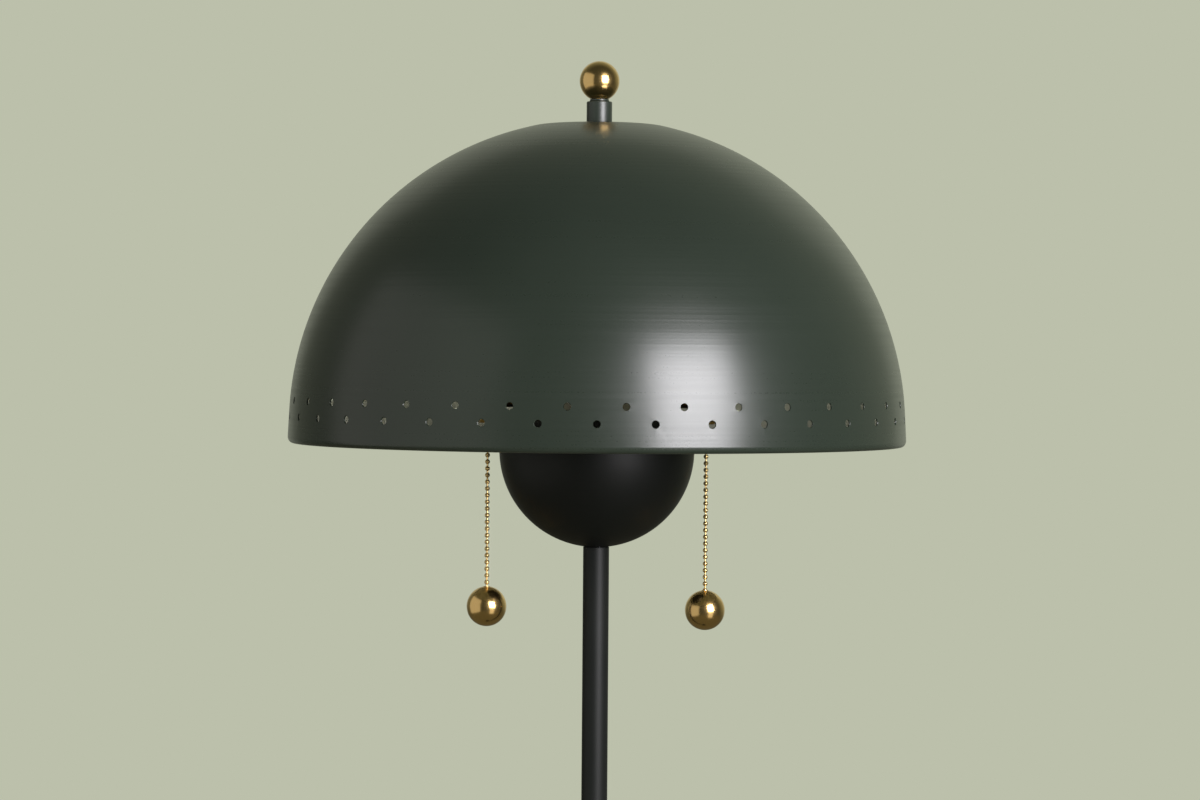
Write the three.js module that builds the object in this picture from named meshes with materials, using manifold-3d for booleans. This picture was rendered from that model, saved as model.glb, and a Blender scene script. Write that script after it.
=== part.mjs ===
// A free-standing floor lamp: a weighted round base, a straight tube stem, a bowl that holds
// two lampholders, and a perforated dome shade held down by a ball finial. Each lampholder has
// its own pull-chain switch with a ball on the chain.
// Millimetres, +Z up, origin on the floor under the middle of the base, front towards -Y.

import * as THREE from "three";
import { mergeVertices } from "three/addons/utils/BufferGeometryUtils.js";
import Module from "manifold-3d";

const wasm = await Module();
wasm.setup();

// ---- driving dimensions ------------------------------------------------------------------

const RIM_Z = 1300; // height of the shade's lower edge above the floor
const GAP = 0.3; // air left between two pieces that bear on each other
const FIT = 0.3; // radial room of a bore round what passes through it

const THREAD_R = 5; // lamp thread, used on every nipple and on the shade rod
const BORE_R = THREAD_R + FIT;
const WIRE_BORE_R = 3.5; // passage for the wires inside a nipple

const BASE_R = 140;
const BASE_SHOULDER = 14; // radius of the cover's rounded edge
const BASE_TOP_Z = 28;
const BASE_SKIRT_Z = 1.5; // clearance of the cover's lower edge above the floor
const SHEET = 1.2; // thickness of the spun steel cover, bowl and shade
const PAD_T = 3;
const WEIGHT_R = 126;
const WEIGHT_TOP_Z = 25.3;
const RECESS_R = 20; // pocket under the weight for the nut and the lead
const RECESS_TOP_Z = 17;
const LEAD_R = 2;
const LEAD_Z = 7; // height of the lead where it crosses the base
const LEAD_BEND_R = 7.5;
const LEAD_SLOT_W = 8;
const GLAND_FLANGE_R = 5.5;
const GLAND_BODY_R = 4;

const STEM_R = 8.45;
const STEM_WALL = 1.2;
const STEM_PARTS = ["stem_lower", "stem_middle", "stem_upper"];
const STEM_END = 22; // length of the threaded bush welded in each end of a tube
const NIPPLE_L = 36;

const BOWL_R = 63.4;
const BOWL_Z = RIM_Z - 3.7; // height of the bowl's ball centre
const BOWL_RIM_Z = RIM_Z + 18;

const BAR_Z = RIM_Z - 34; // underside of the crossbar that carries the lampholders
const BAR_T = 3;
const BAR_W = 16;
const HOLDER_X = 32; // distance of each lampholder from the middle of the lamp
const HOLDER_R = 18.5;
const HOLDER_CAP_H = 18;
const HOLDER_TOP_Z = RIM_Z + 60;
const HOLDER_WALL = 1.5;
const CORE_R = 16.3;
const CORE_Z = RIM_Z + 12;
const CORE_TOP_Z = RIM_Z + 36;
const SHELL_R = 13.6; // outside of the screw shell that takes the bulb
const SHELL_WALL = 0.5;

const BULB_R = 22.5;
const BULB_TIP_Z = RIM_Z + 39.5;
const BULB_CAP_H = 24;
const BULB_CAP_R = 12.7;
const BULB_L = 78;

const CHAIN_X = 71; // distance of each hanging chain from the middle of the lamp
const CHAIN_R = 1.6;
const SWAY_BEAD_R = 1.5;
const GUIDE_Z = RIM_Z + 28; // height of the chain where it leaves the lampholder
const GUIDE_MOUTH_Z = RIM_Z + 14;
const GUIDE_BORE_R = 3.4;
const GUIDE_R = 4.4;
const GUIDE_BEND_R = 6;
const PULL_TRAVEL = 9;
const SPOOL_R = PULL_TRAVEL / (Math.PI / 2); // the chain's path round the switch spool
const SPOOL_Z = GUIDE_Z - SPOOL_R;
const SPOOL_FLANGE_R = 7.2;
const PULL_BALL_R = 13;
const PULL_BALL_Z = { left: RIM_Z - 105.9, right: RIM_Z - 107.4 };

const SHADE_R = 200;
const SHADE_BALL_Z = RIM_Z + 11; // height of the dome's ball centre
const SHADE_BALL_R = 199.4;
const SHADE_TOP_Z = RIM_Z + 206.5;
const SHADE_FLAT_R = 33; // radius of the flat on top of the dome
const SHADE_HOLES = 36; // perforations in each of the two rows
const SHADE_HOLE_R = 2.2;
const SHADE_ROW_Z = [RIM_Z + 17.4, RIM_Z + 27.6];

const COLLAR_R = 8.3;
const COLLAR_TOP_Z = RIM_Z + 222.1;
const NECK_R = 6.25;
const FINIAL_R = 13.05;
const FINIAL_Z = RIM_Z + 235.4;
const FINIAL_SEAT_Z = RIM_Z + 223.9;
const ROD_TOP_Z = RIM_Z + 231;

// ---- materials ---------------------------------------------------------------------------

const finish = (color, roughness, metalness) => new THREE.MeshStandardMaterial({ color, roughness, metalness });
const greenPaint = finish(0x2f3833, 0.42, 0.0);
const blackPaint = finish(0x191b1a, 0.4, 0.0);
const brass = finish(0xb8893a, 0.22, 1.0);
const steel = finish(0xa3a6a8, 0.35, 1.0);
const castIron = finish(0x4a4b4c, 0.75, 0.6);
const foam = finish(0x222222, 0.95, 0.0);
const whitePlastic = finish(0xe8e4da, 0.45, 0.0);
const blackPlastic = finish(0x202020, 0.5, 0.0);
const opalGlass = finish(0xf4f1e8, 0.2, 0.0);
const greyPvc = finish(0x34363a, 0.6, 0.0);

// ---- shape helpers -----------------------------------------------------------------------

/** Radius of a ball of radius r at height z above its centre. */
const ballRadiusAt = (r, z) => Math.sqrt(r * r - z * z);

/** Points [radius, height] on an arc from angle a0 to a1 (degrees above the horizontal). */
function arc(cr, cz, rr, rz, a0, a1, steps) {
  return Array.from({ length: steps + 1 }, (_, i) => {
    const a = THREE.MathUtils.degToRad(a0 + ((a1 - a0) * i) / steps);
    return [cr + rr * Math.cos(a), cz + rz * Math.sin(a)];
  });
}

/** Turns a closed outline of [radius, height] points round the Z axis. */
function turned(outline, segments) {
  let doubledArea = 0;
  outline.forEach(([r, z], i) => {
    const [nextR, nextZ] = outline[(i + 1) % outline.length];
    doubledArea += r * nextZ - nextR * z;
  });
  const ordered = doubledArea > 0 ? [...outline] : [...outline].reverse();
  const touchesAxis = ordered.some(([r]) => r === 0);
  if (touchesAxis) {
    while (ordered[0][0] !== 0 || ordered.at(-1)[0] !== 0) ordered.push(ordered.shift());
  } else {
    ordered.push(ordered[0]);
  }
  const geometry = new THREE.LatheGeometry(
    ordered.map(([r, z]) => new THREE.Vector2(r, z)),
    segments,
  );
  return geometry.rotateX(Math.PI / 2);
}

/** A plain tube or ring standing on the Z axis. */
const ring = (innerR, outerR, z0, z1, segments = 12) =>
  turned([[innerR, z0], [outerR, z0], [outerR, z1], [innerR, z1]], segments);

/** A plain disc or rod standing on the Z axis. */
const rod = (r, z0, z1, segments = 12) =>
  turned([[0, z0], [r, z0], [r, z1], [0, z1]], segments);

/** A hexagon nut on the Z axis, with its bore. */
function hexNut(acrossFlats, z0, height) {
  const outline = new THREE.Shape(regularPolygon(acrossFlats / Math.sqrt(3), 6));
  outline.holes.push(new THREE.Path(regularPolygon(BORE_R, 12)));
  const geometry = new THREE.ExtrudeGeometry(outline, { depth: height, bevelEnabled: false });
  return geometry.translate(0, 0, z0);
}

/** Corners of a regular polygon. */
function regularPolygon(r, sides) {
  return Array.from({ length: sides }, (_, i) => {
    const a = (i * 2 * Math.PI) / sides;
    return new THREE.Vector2(r * Math.cos(a), r * Math.sin(a));
  });
}

/** Sweeps a round section, hollow where an inner radius is given, along a curve. */
function swept(curve, outerR, sides, steps, innerR = 0) {
  const section = new THREE.Shape(regularPolygon(outerR, sides));
  if (innerR) section.holes.push(new THREE.Path(regularPolygon(innerR, sides)));
  return new THREE.ExtrudeGeometry(section, { extrudePath: curve, steps, bevelEnabled: false });
}

/** A smooth curve through points given as [x, y, z]. */
const through = (points) =>
  new THREE.CatmullRomCurve3(points.map((p) => new THREE.Vector3(...p)), false, "centripetal");

/** A box between two opposite corners. */
function block(low, high) {
  const size = high.map((v, i) => v - low[i]);
  const middle = high.map((v, i) => (v + low[i]) / 2);
  return new THREE.BoxGeometry(...size).translate(...middle);
}

/** Turns a three.js geometry into a manifold-3d solid. */
function toSolid(geometry) {
  const bare = geometry.clone();
  bare.deleteAttribute("normal");
  bare.deleteAttribute("uv");
  const merged = mergeVertices(bare, 1e-4);
  const mesh = new wasm.Mesh({
    numProp: 3,
    vertProperties: new Float32Array(merged.attributes.position.array),
    triVerts: new Uint32Array(merged.index.array),
  });
  mesh.merge();
  return new wasm.Manifold(mesh);
}

/** Turns a manifold-3d solid back into a three.js geometry. */
function toGeometry(solid) {
  const mesh = solid.getMesh();
  const geometry = new THREE.BufferGeometry();
  geometry.setAttribute("position", new THREE.BufferAttribute(mesh.vertProperties, 3));
  geometry.setIndex(new THREE.BufferAttribute(mesh.triVerts, 1));
  geometry.computeVertexNormals();
  return geometry;
}

/** Cuts several tools out of one geometry. */
const cut = (geometry, ...tools) =>
  toGeometry(tools.reduce((left, tool) => left.subtract(toSolid(tool)), toSolid(geometry)));

/** Joins geometries that overlap into one. */
const joined = (first, ...others) =>
  toGeometry(others.reduce((sum, other) => sum.add(toSolid(other)), toSolid(first)));

const group = new THREE.Group();

/** Adds one named piece to a parent group, the lamp itself by default. */
function piece(name, geometry, material, parent = group) {
  const mesh = new THREE.Mesh(geometry, material);
  mesh.name = name;
  parent.add(mesh);
}

// ---- base --------------------------------------------------------------------------------

/** The foam ring that the lamp stands on. */
const basePad = () => ring(RECESS_R, WEIGHT_R - 2, 0, PAD_T, 36);

/** The cast disc, with a pocket for the nut and a slot for the lead under it. */
function baseWeight() {
  const bottom = PAD_T + GAP;
  const chamfer = 5;
  const disc = turned(
    [
      [BORE_R, WEIGHT_TOP_Z],
      [BORE_R, RECESS_TOP_Z],
      [RECESS_R, RECESS_TOP_Z],
      [RECESS_R, bottom],
      [WEIGHT_R, bottom],
      [WEIGHT_R, WEIGHT_TOP_Z - chamfer],
      [WEIGHT_R - chamfer, WEIGHT_TOP_Z],
    ],
    36,
  );
  const slotTop = LEAD_Z + LEAD_SLOT_W / 2;
  return cut(disc, block([-LEAD_SLOT_W / 2, RECESS_R - 2, 0], [LEAD_SLOT_W / 2, WEIGHT_R + 2, slotTop]));
}

/** The spun steel cover over the weight, with a hole for the gland in its back. */
function baseCover() {
  const edgeR = BASE_R - BASE_SHOULDER;
  const edgeZ = BASE_TOP_Z - 1 - BASE_SHOULDER;
  const inside = BASE_SHOULDER - SHEET;
  const shell = turned(
    [
      [BASE_R - SHEET, BASE_SKIRT_Z],
      [BASE_R, BASE_SKIRT_Z],
      ...arc(edgeR, edgeZ, BASE_SHOULDER, BASE_SHOULDER, 0, 90, 4),
      [BORE_R, BASE_TOP_Z],
      [BORE_R, BASE_TOP_Z - SHEET],
      ...arc(edgeR, edgeZ, inside, inside, 90, 0, 4),
    ],
    36,
  );
  const hole = rod(GLAND_BODY_R + FIT, BASE_R - 5, BASE_R + 5, 12).rotateX(-Math.PI / 2);
  return cut(shell, hole.translate(0, 0, LEAD_Z));
}

/** The bushing in the base's back, where the supply enters. */
function cordGland() {
  const inner = BASE_R - SHEET;
  const bushing = turned(
    [
      [LEAD_R + FIT, inner - 5],
      [GLAND_BODY_R, inner - 5],
      [GLAND_BODY_R, BASE_R + GAP],
      [GLAND_FLANGE_R, BASE_R + GAP],
      [GLAND_FLANGE_R - 0.5, BASE_R + 3],
      [LEAD_R + FIT, BASE_R + 3],
    ],
    12,
  );
  return bushing.rotateX(-Math.PI / 2).translate(0, 0, LEAD_Z);
}

/** The turned collar round the foot of the stem. */
function baseCollar() {
  const z0 = BASE_TOP_Z + GAP;
  const inner = STEM_R + FIT;
  const outer = STEM_R + 5;
  return turned([[inner, z0], [outer, z0], [outer, z0 + 5], [outer - 2, z0 + 8], [inner, z0 + 8]], 24);
}

const BASE_NUT_H = 4;
const WASHER_T = 1.5;
const BASE_WASHER_Z = RECESS_TOP_Z - GAP - WASHER_T;
const BASE_NUT_Z = BASE_WASHER_Z - GAP - BASE_NUT_H;
const BASE_NIPPLE_Z = BASE_NUT_Z - 0.5;
const STEM_BOTTOM_Z = BASE_TOP_Z + GAP;

piece("base_pad", basePad(), foam);
piece("base_weight", baseWeight(), castIron);
piece("base_cover", baseCover(), blackPaint);
piece("base_collar", baseCollar(), blackPaint);
piece("cord_gland", cordGland(), blackPlastic);
piece("base_washer", ring(BORE_R, 11, BASE_WASHER_Z, BASE_WASHER_Z + WASHER_T), steel);
piece("base_nut", hexNut(14, BASE_NUT_Z, BASE_NUT_H), steel);
piece("base_nipple", ring(WIRE_BORE_R, THREAD_R, BASE_NIPPLE_Z, STEM_BOTTOM_Z + STEM_END), steel);

// ---- stem --------------------------------------------------------------------------------

/** Height of the flat under the bowl, where the stem meets it. */
const BOWL_FOOT_Z = BOWL_Z - ballRadiusAt(BOWL_R, STEM_R);
const STEM_TOP_Z = BOWL_FOOT_Z - GAP;
const STEM_L = (STEM_TOP_Z - STEM_BOTTOM_Z) / STEM_PARTS.length;

/** One tube of the stem, with a threaded bush in each end. */
function stemTube(z0, z1) {
  const inner = STEM_R - STEM_WALL;
  return turned(
    [
      [BORE_R, z0],
      [STEM_R, z0],
      [STEM_R, z1],
      [BORE_R, z1],
      [BORE_R, z1 - STEM_END],
      [inner, z1 - STEM_END],
      [inner, z0 + STEM_END],
      [BORE_R, z0 + STEM_END],
    ],
    20,
  );
}

STEM_PARTS.forEach((name, i) => {
  const z0 = STEM_BOTTOM_Z + i * STEM_L;
  const isTop = i === STEM_PARTS.length - 1;
  piece(name, stemTube(z0, z0 + STEM_L - (isTop ? 0 : GAP)), blackPaint);
  if (isTop) return;
  const seam = z0 + STEM_L;
  piece(`stem_nipple_${i + 1}`, ring(WIRE_BORE_R, THREAD_R, seam - NIPPLE_L / 2, seam + NIPPLE_L / 2), steel);
});

// ---- bowl and crossbar -------------------------------------------------------------------

/** The spun bowl: most of a ball, open at the top, on a small flat. */
function bowl() {
  const innerR = BOWL_R - SHEET;
  const footAngle = THREE.MathUtils.radToDeg(Math.acos(STEM_R / BOWL_R));
  return turned(
    [
      [BORE_R, BOWL_FOOT_Z],
      ...arc(0, BOWL_Z, BOWL_R, BOWL_R, -footAngle, 0, 6),
      [BOWL_R, BOWL_RIM_Z],
      [innerR, BOWL_RIM_Z],
      ...arc(0, BOWL_Z, innerR, innerR, 0, -footAngle, 6),
      [BORE_R, BOWL_FOOT_Z + SHEET],
    ],
    32,
  );
}

const BOWL_WASHER_Z = BOWL_FOOT_Z + SHEET + GAP;
const BOWL_NUT_Z = BOWL_WASHER_Z + WASHER_T + GAP;
const BOWL_NUT_H = 5;
const WINDOW_Z = BOWL_NUT_Z + BOWL_NUT_H + 1.5; // foot of the wires' way out of the nipple
const WINDOW_H = 11;
const BAR_NUT_H = 5;
const BAR_NUT_Z = BAR_Z - GAP - BAR_NUT_H;
const NIPPLE_TOP_Z = BAR_Z + BAR_T + 10;
const SPIGOT_Z = BAR_Z - 3;
const SPIGOT_TOP_Z = BAR_Z + BAR_T + 6;

/** The long nipple through the bowl, with a window that lets the wires out. */
function bowlNipple() {
  const tube = ring(WIRE_BORE_R, THREAD_R, STEM_TOP_Z - STEM_END, NIPPLE_TOP_Z);
  const halfW = WIRE_BORE_R - 0.8;
  return cut(tube, block([-halfW, 0, WINDOW_Z], [halfW, THREAD_R + 2, WINDOW_Z + WINDOW_H]));
}

/** The steel strip with a hollow threaded spigot for each lampholder. */
function crossbar() {
  const half = BAR_W / 2;
  const reach = HOLDER_X + 1;
  const outline = new THREE.Shape();
  outline.absarc(reach, 0, half, -Math.PI / 2, Math.PI / 2, false);
  outline.absarc(-reach, 0, half, Math.PI / 2, (3 * Math.PI) / 2, false);
  outline.closePath();
  const strip = new THREE.ExtrudeGeometry(outline, { depth: BAR_T, bevelEnabled: false, curveSegments: 4 });
  const plate = cut(strip.translate(0, 0, BAR_Z), rod(BORE_R, BAR_Z - 1, BAR_Z + BAR_T + 1));
  const sides = [-HOLDER_X, HOLDER_X];
  const spigots = sides.map((x) => rod(THREAD_R, SPIGOT_Z, SPIGOT_TOP_Z).translate(x, 0, 0));
  const bores = sides.map((x) => rod(WIRE_BORE_R, SPIGOT_Z - 1, SPIGOT_TOP_Z + 1).translate(x, 0, 0));
  return cut(joined(plate, ...spigots), ...bores);
}

piece("bowl", bowl(), blackPaint);
piece("bowl_nipple", bowlNipple(), steel);
piece("bowl_washer", ring(BORE_R, 9, BOWL_WASHER_Z, BOWL_WASHER_Z + WASHER_T), steel);
piece("bowl_nut", hexNut(14, BOWL_NUT_Z, BOWL_NUT_H), steel);
piece("crossbar", crossbar(), steel);
piece("crossbar_nut", hexNut(14, BAR_NUT_Z, BAR_NUT_H), steel);

const COUPLER_Z = BAR_Z + BAR_T + GAP;
const COUPLER_H = 22;
piece("rod_coupler", ring(BORE_R, STEM_R, COUPLER_Z, COUPLER_Z + COUPLER_H), brass);
piece("shade_rod", rod(THREAD_R, NIPPLE_TOP_Z + 2, ROD_TOP_Z), brass);

// ---- wiring ------------------------------------------------------------------------------

const SPLICE_Y = 17;
const SPLICE_R = 6;
const SPLICE_Z = WINDOW_Z + 7;
const SPLICE_H = 15;
const CORE_WIRE_R = 1.2;
const CORE_WIRE_X = 3.8;

/** The lead held inside the lamp: from the gland, up the stem and out into the bowl. */
function stemLead() {
  const bendTop = LEAD_Z + LEAD_BEND_R;
  const path = new THREE.CurvePath();
  const at = (y, z) => new THREE.Vector3(0, y, z);
  path.add(new THREE.LineCurve3(at(BASE_R - 1, LEAD_Z), at(LEAD_BEND_R, LEAD_Z)));
  path.add(quarterBend(at(LEAD_BEND_R, LEAD_Z), at(0, LEAD_Z), at(0, bendTop)));
  const turnZ = WINDOW_Z - 4;
  const outZ = turnZ + LEAD_BEND_R;
  path.add(new THREE.LineCurve3(at(0, bendTop), at(0, turnZ)));
  path.add(quarterBend(at(0, turnZ), at(0, outZ), at(LEAD_BEND_R, outZ)));
  path.add(new THREE.LineCurve3(at(LEAD_BEND_R, outZ), at(SPLICE_Y - 5, outZ)));
  path.add(quarterBend(at(SPLICE_Y - 5, outZ), at(SPLICE_Y, outZ), at(SPLICE_Y, SPLICE_Z - GAP)));
  return sweptAlong(path, LEAD_R, 8);
}

/** A curve that turns one corner smoothly. */
const quarterBend = (start, corner, end) => new THREE.QuadraticBezierCurve3(start, corner, end);

/** Sweeps a tube along a path of lines and bends, with rings only where it needs them. */
function sweptAlong(path, outerR, sides, innerR = 0) {
  const stepsPerBend = 4;
  const places = [];
  path.curves.forEach((curve) => {
    const steps = curve.type === "LineCurve3" ? 1 : stepsPerBend;
    for (let i = 0; i < steps; i++) places.push([curve, i / steps]);
  });
  places.push([path.curves.at(-1), 1]);
  const course = new THREE.Curve();
  const count = places.length - 1;
  course.getPoint = (t) => {
    const [curve, u] = places[Math.min(count, Math.round(t * count))];
    return curve.getPoint(u);
  };
  course.getPointAt = course.getPoint;
  course.getTangent = (t) => {
    const [curve, u] = places[Math.min(count, Math.round(t * count))];
    return curve.getTangent(u);
  };
  course.getTangentAt = course.getTangent;
  course.getSpacedPoints = (divisions) => Array.from({ length: divisions + 1 }, (_, i) => course.getPoint(i / divisions));
  return swept(course, outerR, sides, count, innerR);
}

piece("stem_lead", stemLead(), greyPvc);
piece("splice_cap", rod(SPLICE_R, SPLICE_Z, SPLICE_Z + SPLICE_H, 16).translate(0, SPLICE_Y, 0), whitePlastic);

// ---- lampholders, switches and bulbs -----------------------------------------------------

const CAP_Z = BAR_Z + BAR_T + GAP;
const HOLDER_Z = CAP_Z + HOLDER_CAP_H + GAP;

/** The domed lower cap of a lampholder, about the holder's own axis. */
function holderCap() {
  const foot = THREAD_R + 3;
  const width = HOLDER_R - foot;
  const inside = HOLDER_WALL;
  return turned(
    [
      [BORE_R, CAP_Z],
      ...arc(foot, CAP_Z + HOLDER_CAP_H, width, HOLDER_CAP_H, -90, 0, 3),
      [HOLDER_R - inside, CAP_Z + HOLDER_CAP_H],
      ...arc(foot, CAP_Z + HOLDER_CAP_H, width - inside, HOLDER_CAP_H - inside, 0, -90, 3).slice(1),
      [BORE_R, CAP_Z + inside],
    ],
    20,
  );
}

/** The outer shell of a lampholder, with the hole where its chain guide is screwed in. */
function holderShell() {
  const tube = ring(HOLDER_R - HOLDER_WALL, HOLDER_R, HOLDER_Z, HOLDER_TOP_Z, 24);
  const hole = rod(GUIDE_R + FIT, HOLDER_R - 6, HOLDER_R + 3, 12).rotateY(Math.PI / 2);
  return cut(tube, hole.translate(0, 0, GUIDE_Z));
}

/** The insulating core, with the pocket that the switch spool turns in. */
function holderCore() {
  const pocketW = 4;
  const pocketZ = SPOOL_Z - SPOOL_FLANGE_R - 0.6;
  const pocketTop = SPOOL_Z + SPOOL_FLANGE_R + 0.6;
  const pocket = block([-SPOOL_FLANGE_R - 1, -pocketW, pocketZ], [CORE_R + 2, pocketW, pocketTop]);
  const springRoom = block([-SPOOL_FLANGE_R - 1, 0, pocketZ], [SPOOL_FLANGE_R + 1, pocketW + 4, pocketTop]);
  const pivotHole = rod(2, -12, 12, 12).rotateX(Math.PI / 2).translate(0, 0, SPOOL_Z);
  return cut(rod(CORE_R, CORE_Z, CORE_TOP_Z, 20), pocket, springRoom, pivotHole);
}

/** The flanged wheel that the chain turns, with its two pivots, lying along Y. */
function switchSpool() {
  const drumR = SPOOL_R - CHAIN_R - FIT;
  const pivotR = 1.6;
  const inner = 2.2;
  const outer = 3.4;
  const profile = [
    [0, -11],
    [pivotR, -11],
    [pivotR, -outer],
    [SPOOL_FLANGE_R, -outer],
    [SPOOL_FLANGE_R, -inner],
    [drumR, -inner],
    [drumR, inner],
    [SPOOL_FLANGE_R, inner],
    [SPOOL_FLANGE_R, outer],
    [pivotR, outer],
    [pivotR, 11],
    [0, 11],
  ];
  return turned(profile, 12).rotateX(-Math.PI / 2).translate(0, 0, SPOOL_Z);
}

/** The flat spiral spring that turns the spool back. */
function switchSpring() {
  const turns = 2.5;
  const steps = 28;
  const band = 0.5;
  const innerR = 2.2;
  const outerR = 6;
  const along = (offset) => (_, i) => {
    const a = (i / steps) * turns * 2 * Math.PI;
    const r = innerR + offset + ((outerR - innerR) * i) / steps;
    return new THREE.Vector2(r * Math.cos(a), r * Math.sin(a));
  };
  const outside = Array.from({ length: steps + 1 }, along(band));
  const inside = Array.from({ length: steps + 1 }, along(0)).reverse();
  const ribbon = new THREE.ExtrudeGeometry(new THREE.Shape([...outside, ...inside]), {
    depth: 2.5,
    bevelEnabled: false,
  });
  return ribbon.rotateX(-Math.PI / 2).translate(0, 4.2, SPOOL_Z);
}

/** The bent brass tube that turns the chain downwards, about the holder's own axis. */
function chainGuide() {
  const dropX = CHAIN_X - HOLDER_X;
  const at = (x, z) => new THREE.Vector3(x, 0, z);
  const path = new THREE.CurvePath();
  path.add(new THREE.LineCurve3(at(CORE_R + 0.4, GUIDE_Z), at(dropX - GUIDE_BEND_R, GUIDE_Z)));
  path.add(quarterBend(at(dropX - GUIDE_BEND_R, GUIDE_Z), at(dropX, GUIDE_Z), at(dropX, GUIDE_Z - GUIDE_BEND_R)));
  path.add(new THREE.LineCurve3(at(dropX, GUIDE_Z - GUIDE_BEND_R), at(dropX, GUIDE_MOUTH_Z + 2)));
  const flare = turned(
    [
      [GUIDE_BORE_R, GUIDE_MOUTH_Z + 4],
      [GUIDE_R, GUIDE_MOUTH_Z + 4],
      [GUIDE_R, GUIDE_MOUTH_Z + 2.5],
      [GUIDE_R + 1.6, GUIDE_MOUTH_Z],
      [GUIDE_BORE_R + 1.6, GUIDE_MOUTH_Z],
      [GUIDE_BORE_R, GUIDE_MOUTH_Z + 2.5],
    ],
    12,
  );
  return joined(sweptAlong(path, GUIDE_R, 12, GUIDE_BORE_R), flare.translate(dropX, 0, 0));
}

/** The glass of a bulb: a small globe on a short neck, closed at the neck's foot. */
function bulbGlass() {
  const centre = BULB_TIP_Z + BULB_L - BULB_R;
  const neckR = BULB_CAP_R - 0.6;
  const neckAngle = THREE.MathUtils.radToDeg(Math.acos(neckR / BULB_R));
  const foot = BULB_TIP_Z + BULB_CAP_H + GAP;
  const globe = arc(0, centre, BULB_R, BULB_R, -neckAngle, 90, 7);
  globe[globe.length - 1][0] = 0;
  return turned([[0, foot], [neckR, foot], ...globe], 18);
}

/** The bulb's screw cap and its contact tip. */
function bulbCap() {
  const z = BULB_TIP_Z;
  return turned(
    [[0, z], [4, z], [5, z + 1.5], [10, z + 4], [BULB_CAP_R, z + 6], [BULB_CAP_R, z + BULB_CAP_H], [0, z + BULB_CAP_H]],
    18,
  );
}

/** The two insulated wires from the splice into a lampholder. */
function holderLead(side) {
  const foot = SPLICE_Z - 1;
  const curve = through([
    [side * CORE_WIRE_X, SPLICE_Y, foot],
    [side * (CORE_WIRE_X + 2), SPLICE_Y, foot - 3],
    [side * 14, SPLICE_Y - 2, foot - 3],
    [side * 26, SPLICE_Y - 12, foot - 1],
    [side * HOLDER_X, 0, SPIGOT_Z - 3],
    [side * HOLDER_X, 0, SPIGOT_TOP_Z],
    [side * HOLDER_X, 0, CORE_Z - GAP],
  ]);
  return swept(curve, CORE_WIRE_R, 8, 14);
}

/** A straight length of chain as a plain rod, on the Z axis. */
const chainRod = (z0, z1) => rod(CHAIN_R, z0, z1, 8);

/** The bead at the guide's mouth, which the hanging chain sways on. */
function chainBead(z) {
  const meridian = arc(0, z, SWAY_BEAD_R, SWAY_BEAD_R, -90, 90, 6);
  meridian[0][0] = 0;
  meridian[meridian.length - 1][0] = 0;
  return turned(meridian, 8);
}

/** The ball on the chain's end, with the blind hole that the chain is fixed in. */
function pullBall(z) {
  const socket = rod(CHAIN_R + FIT, z + PULL_BALL_R - 4, z + PULL_BALL_R + 1, 8);
  const meridian = arc(0, z, PULL_BALL_R, PULL_BALL_R, -90, 90, 8);
  meridian[0][0] = 0;
  meridian[meridian.length - 1][0] = 0;
  return cut(turned(meridian, 16), socket);
}

/** One lampholder with its switch, chain, pull ball and bulb. */
function lampholder(side, name) {
  const holder = new THREE.Group();
  holder.position.x = side * HOLDER_X;
  holder.rotation.z = side > 0 ? 0 : Math.PI;
  group.add(holder);
  piece(`${name}_holder_cap`, holderCap(), whitePlastic, holder);
  piece(`${name}_holder_shell`, holderShell(), whitePlastic, holder);
  piece(`${name}_holder_core`, holderCore(), blackPlastic, holder);
  const shellZ = CORE_TOP_Z + GAP;
  piece(`${name}_screw_shell`, ring(SHELL_R - SHELL_WALL, SHELL_R, shellZ, HOLDER_TOP_Z - 2), brass, holder);
  piece(`${name}_contact`, rod(3, shellZ, BULB_TIP_Z - GAP, 12), brass, holder);
  piece(`${name}_spool`, switchSpool(), brass, holder);
  piece(`${name}_spool_spring`, switchSpring(), steel, holder);
  piece(`${name}_chain_guide`, chainGuide(), brass, holder);
  piece(`${name}_bulb_glass`, bulbGlass(), opalGlass, holder);
  piece(`${name}_bulb_cap`, bulbCap(), brass, holder);
  piece(`${name}_holder_lead`, holderLead(side), greyPvc);

  const drop = new THREE.Group();
  drop.position.x = side * CHAIN_X;
  group.add(drop);
  const runEnd = CHAIN_X - CHAIN_R - 0.6 - PULL_TRAVEL;
  const run = chainRod(HOLDER_X, runEnd).rotateY(side * (Math.PI / 2));
  piece(`${name}_chain_run`, run.translate(0, 0, GUIDE_Z), brass);
  const pivotZ = GUIDE_MOUTH_Z;
  const beadRoom = SWAY_BEAD_R + GAP;
  piece(`${name}_chain_lead`, chainRod(pivotZ + beadRoom, GUIDE_Z - GUIDE_BEND_R + 1.5), brass, drop);
  piece(`${name}_chain_link`, chainBead(pivotZ), brass, drop);
  const ballZ = PULL_BALL_Z[name];
  const chainFoot = ballZ + PULL_BALL_R - 4 + GAP;
  piece(`${name}_pull_chain`, chainRod(chainFoot, pivotZ - beadRoom), brass, drop);
  piece(`${name}_pull_ball`, pullBall(ballZ), brass, drop);
}

lampholder(-1, "left");
lampholder(1, "right");

// ---- shade and finial --------------------------------------------------------------------

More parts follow.
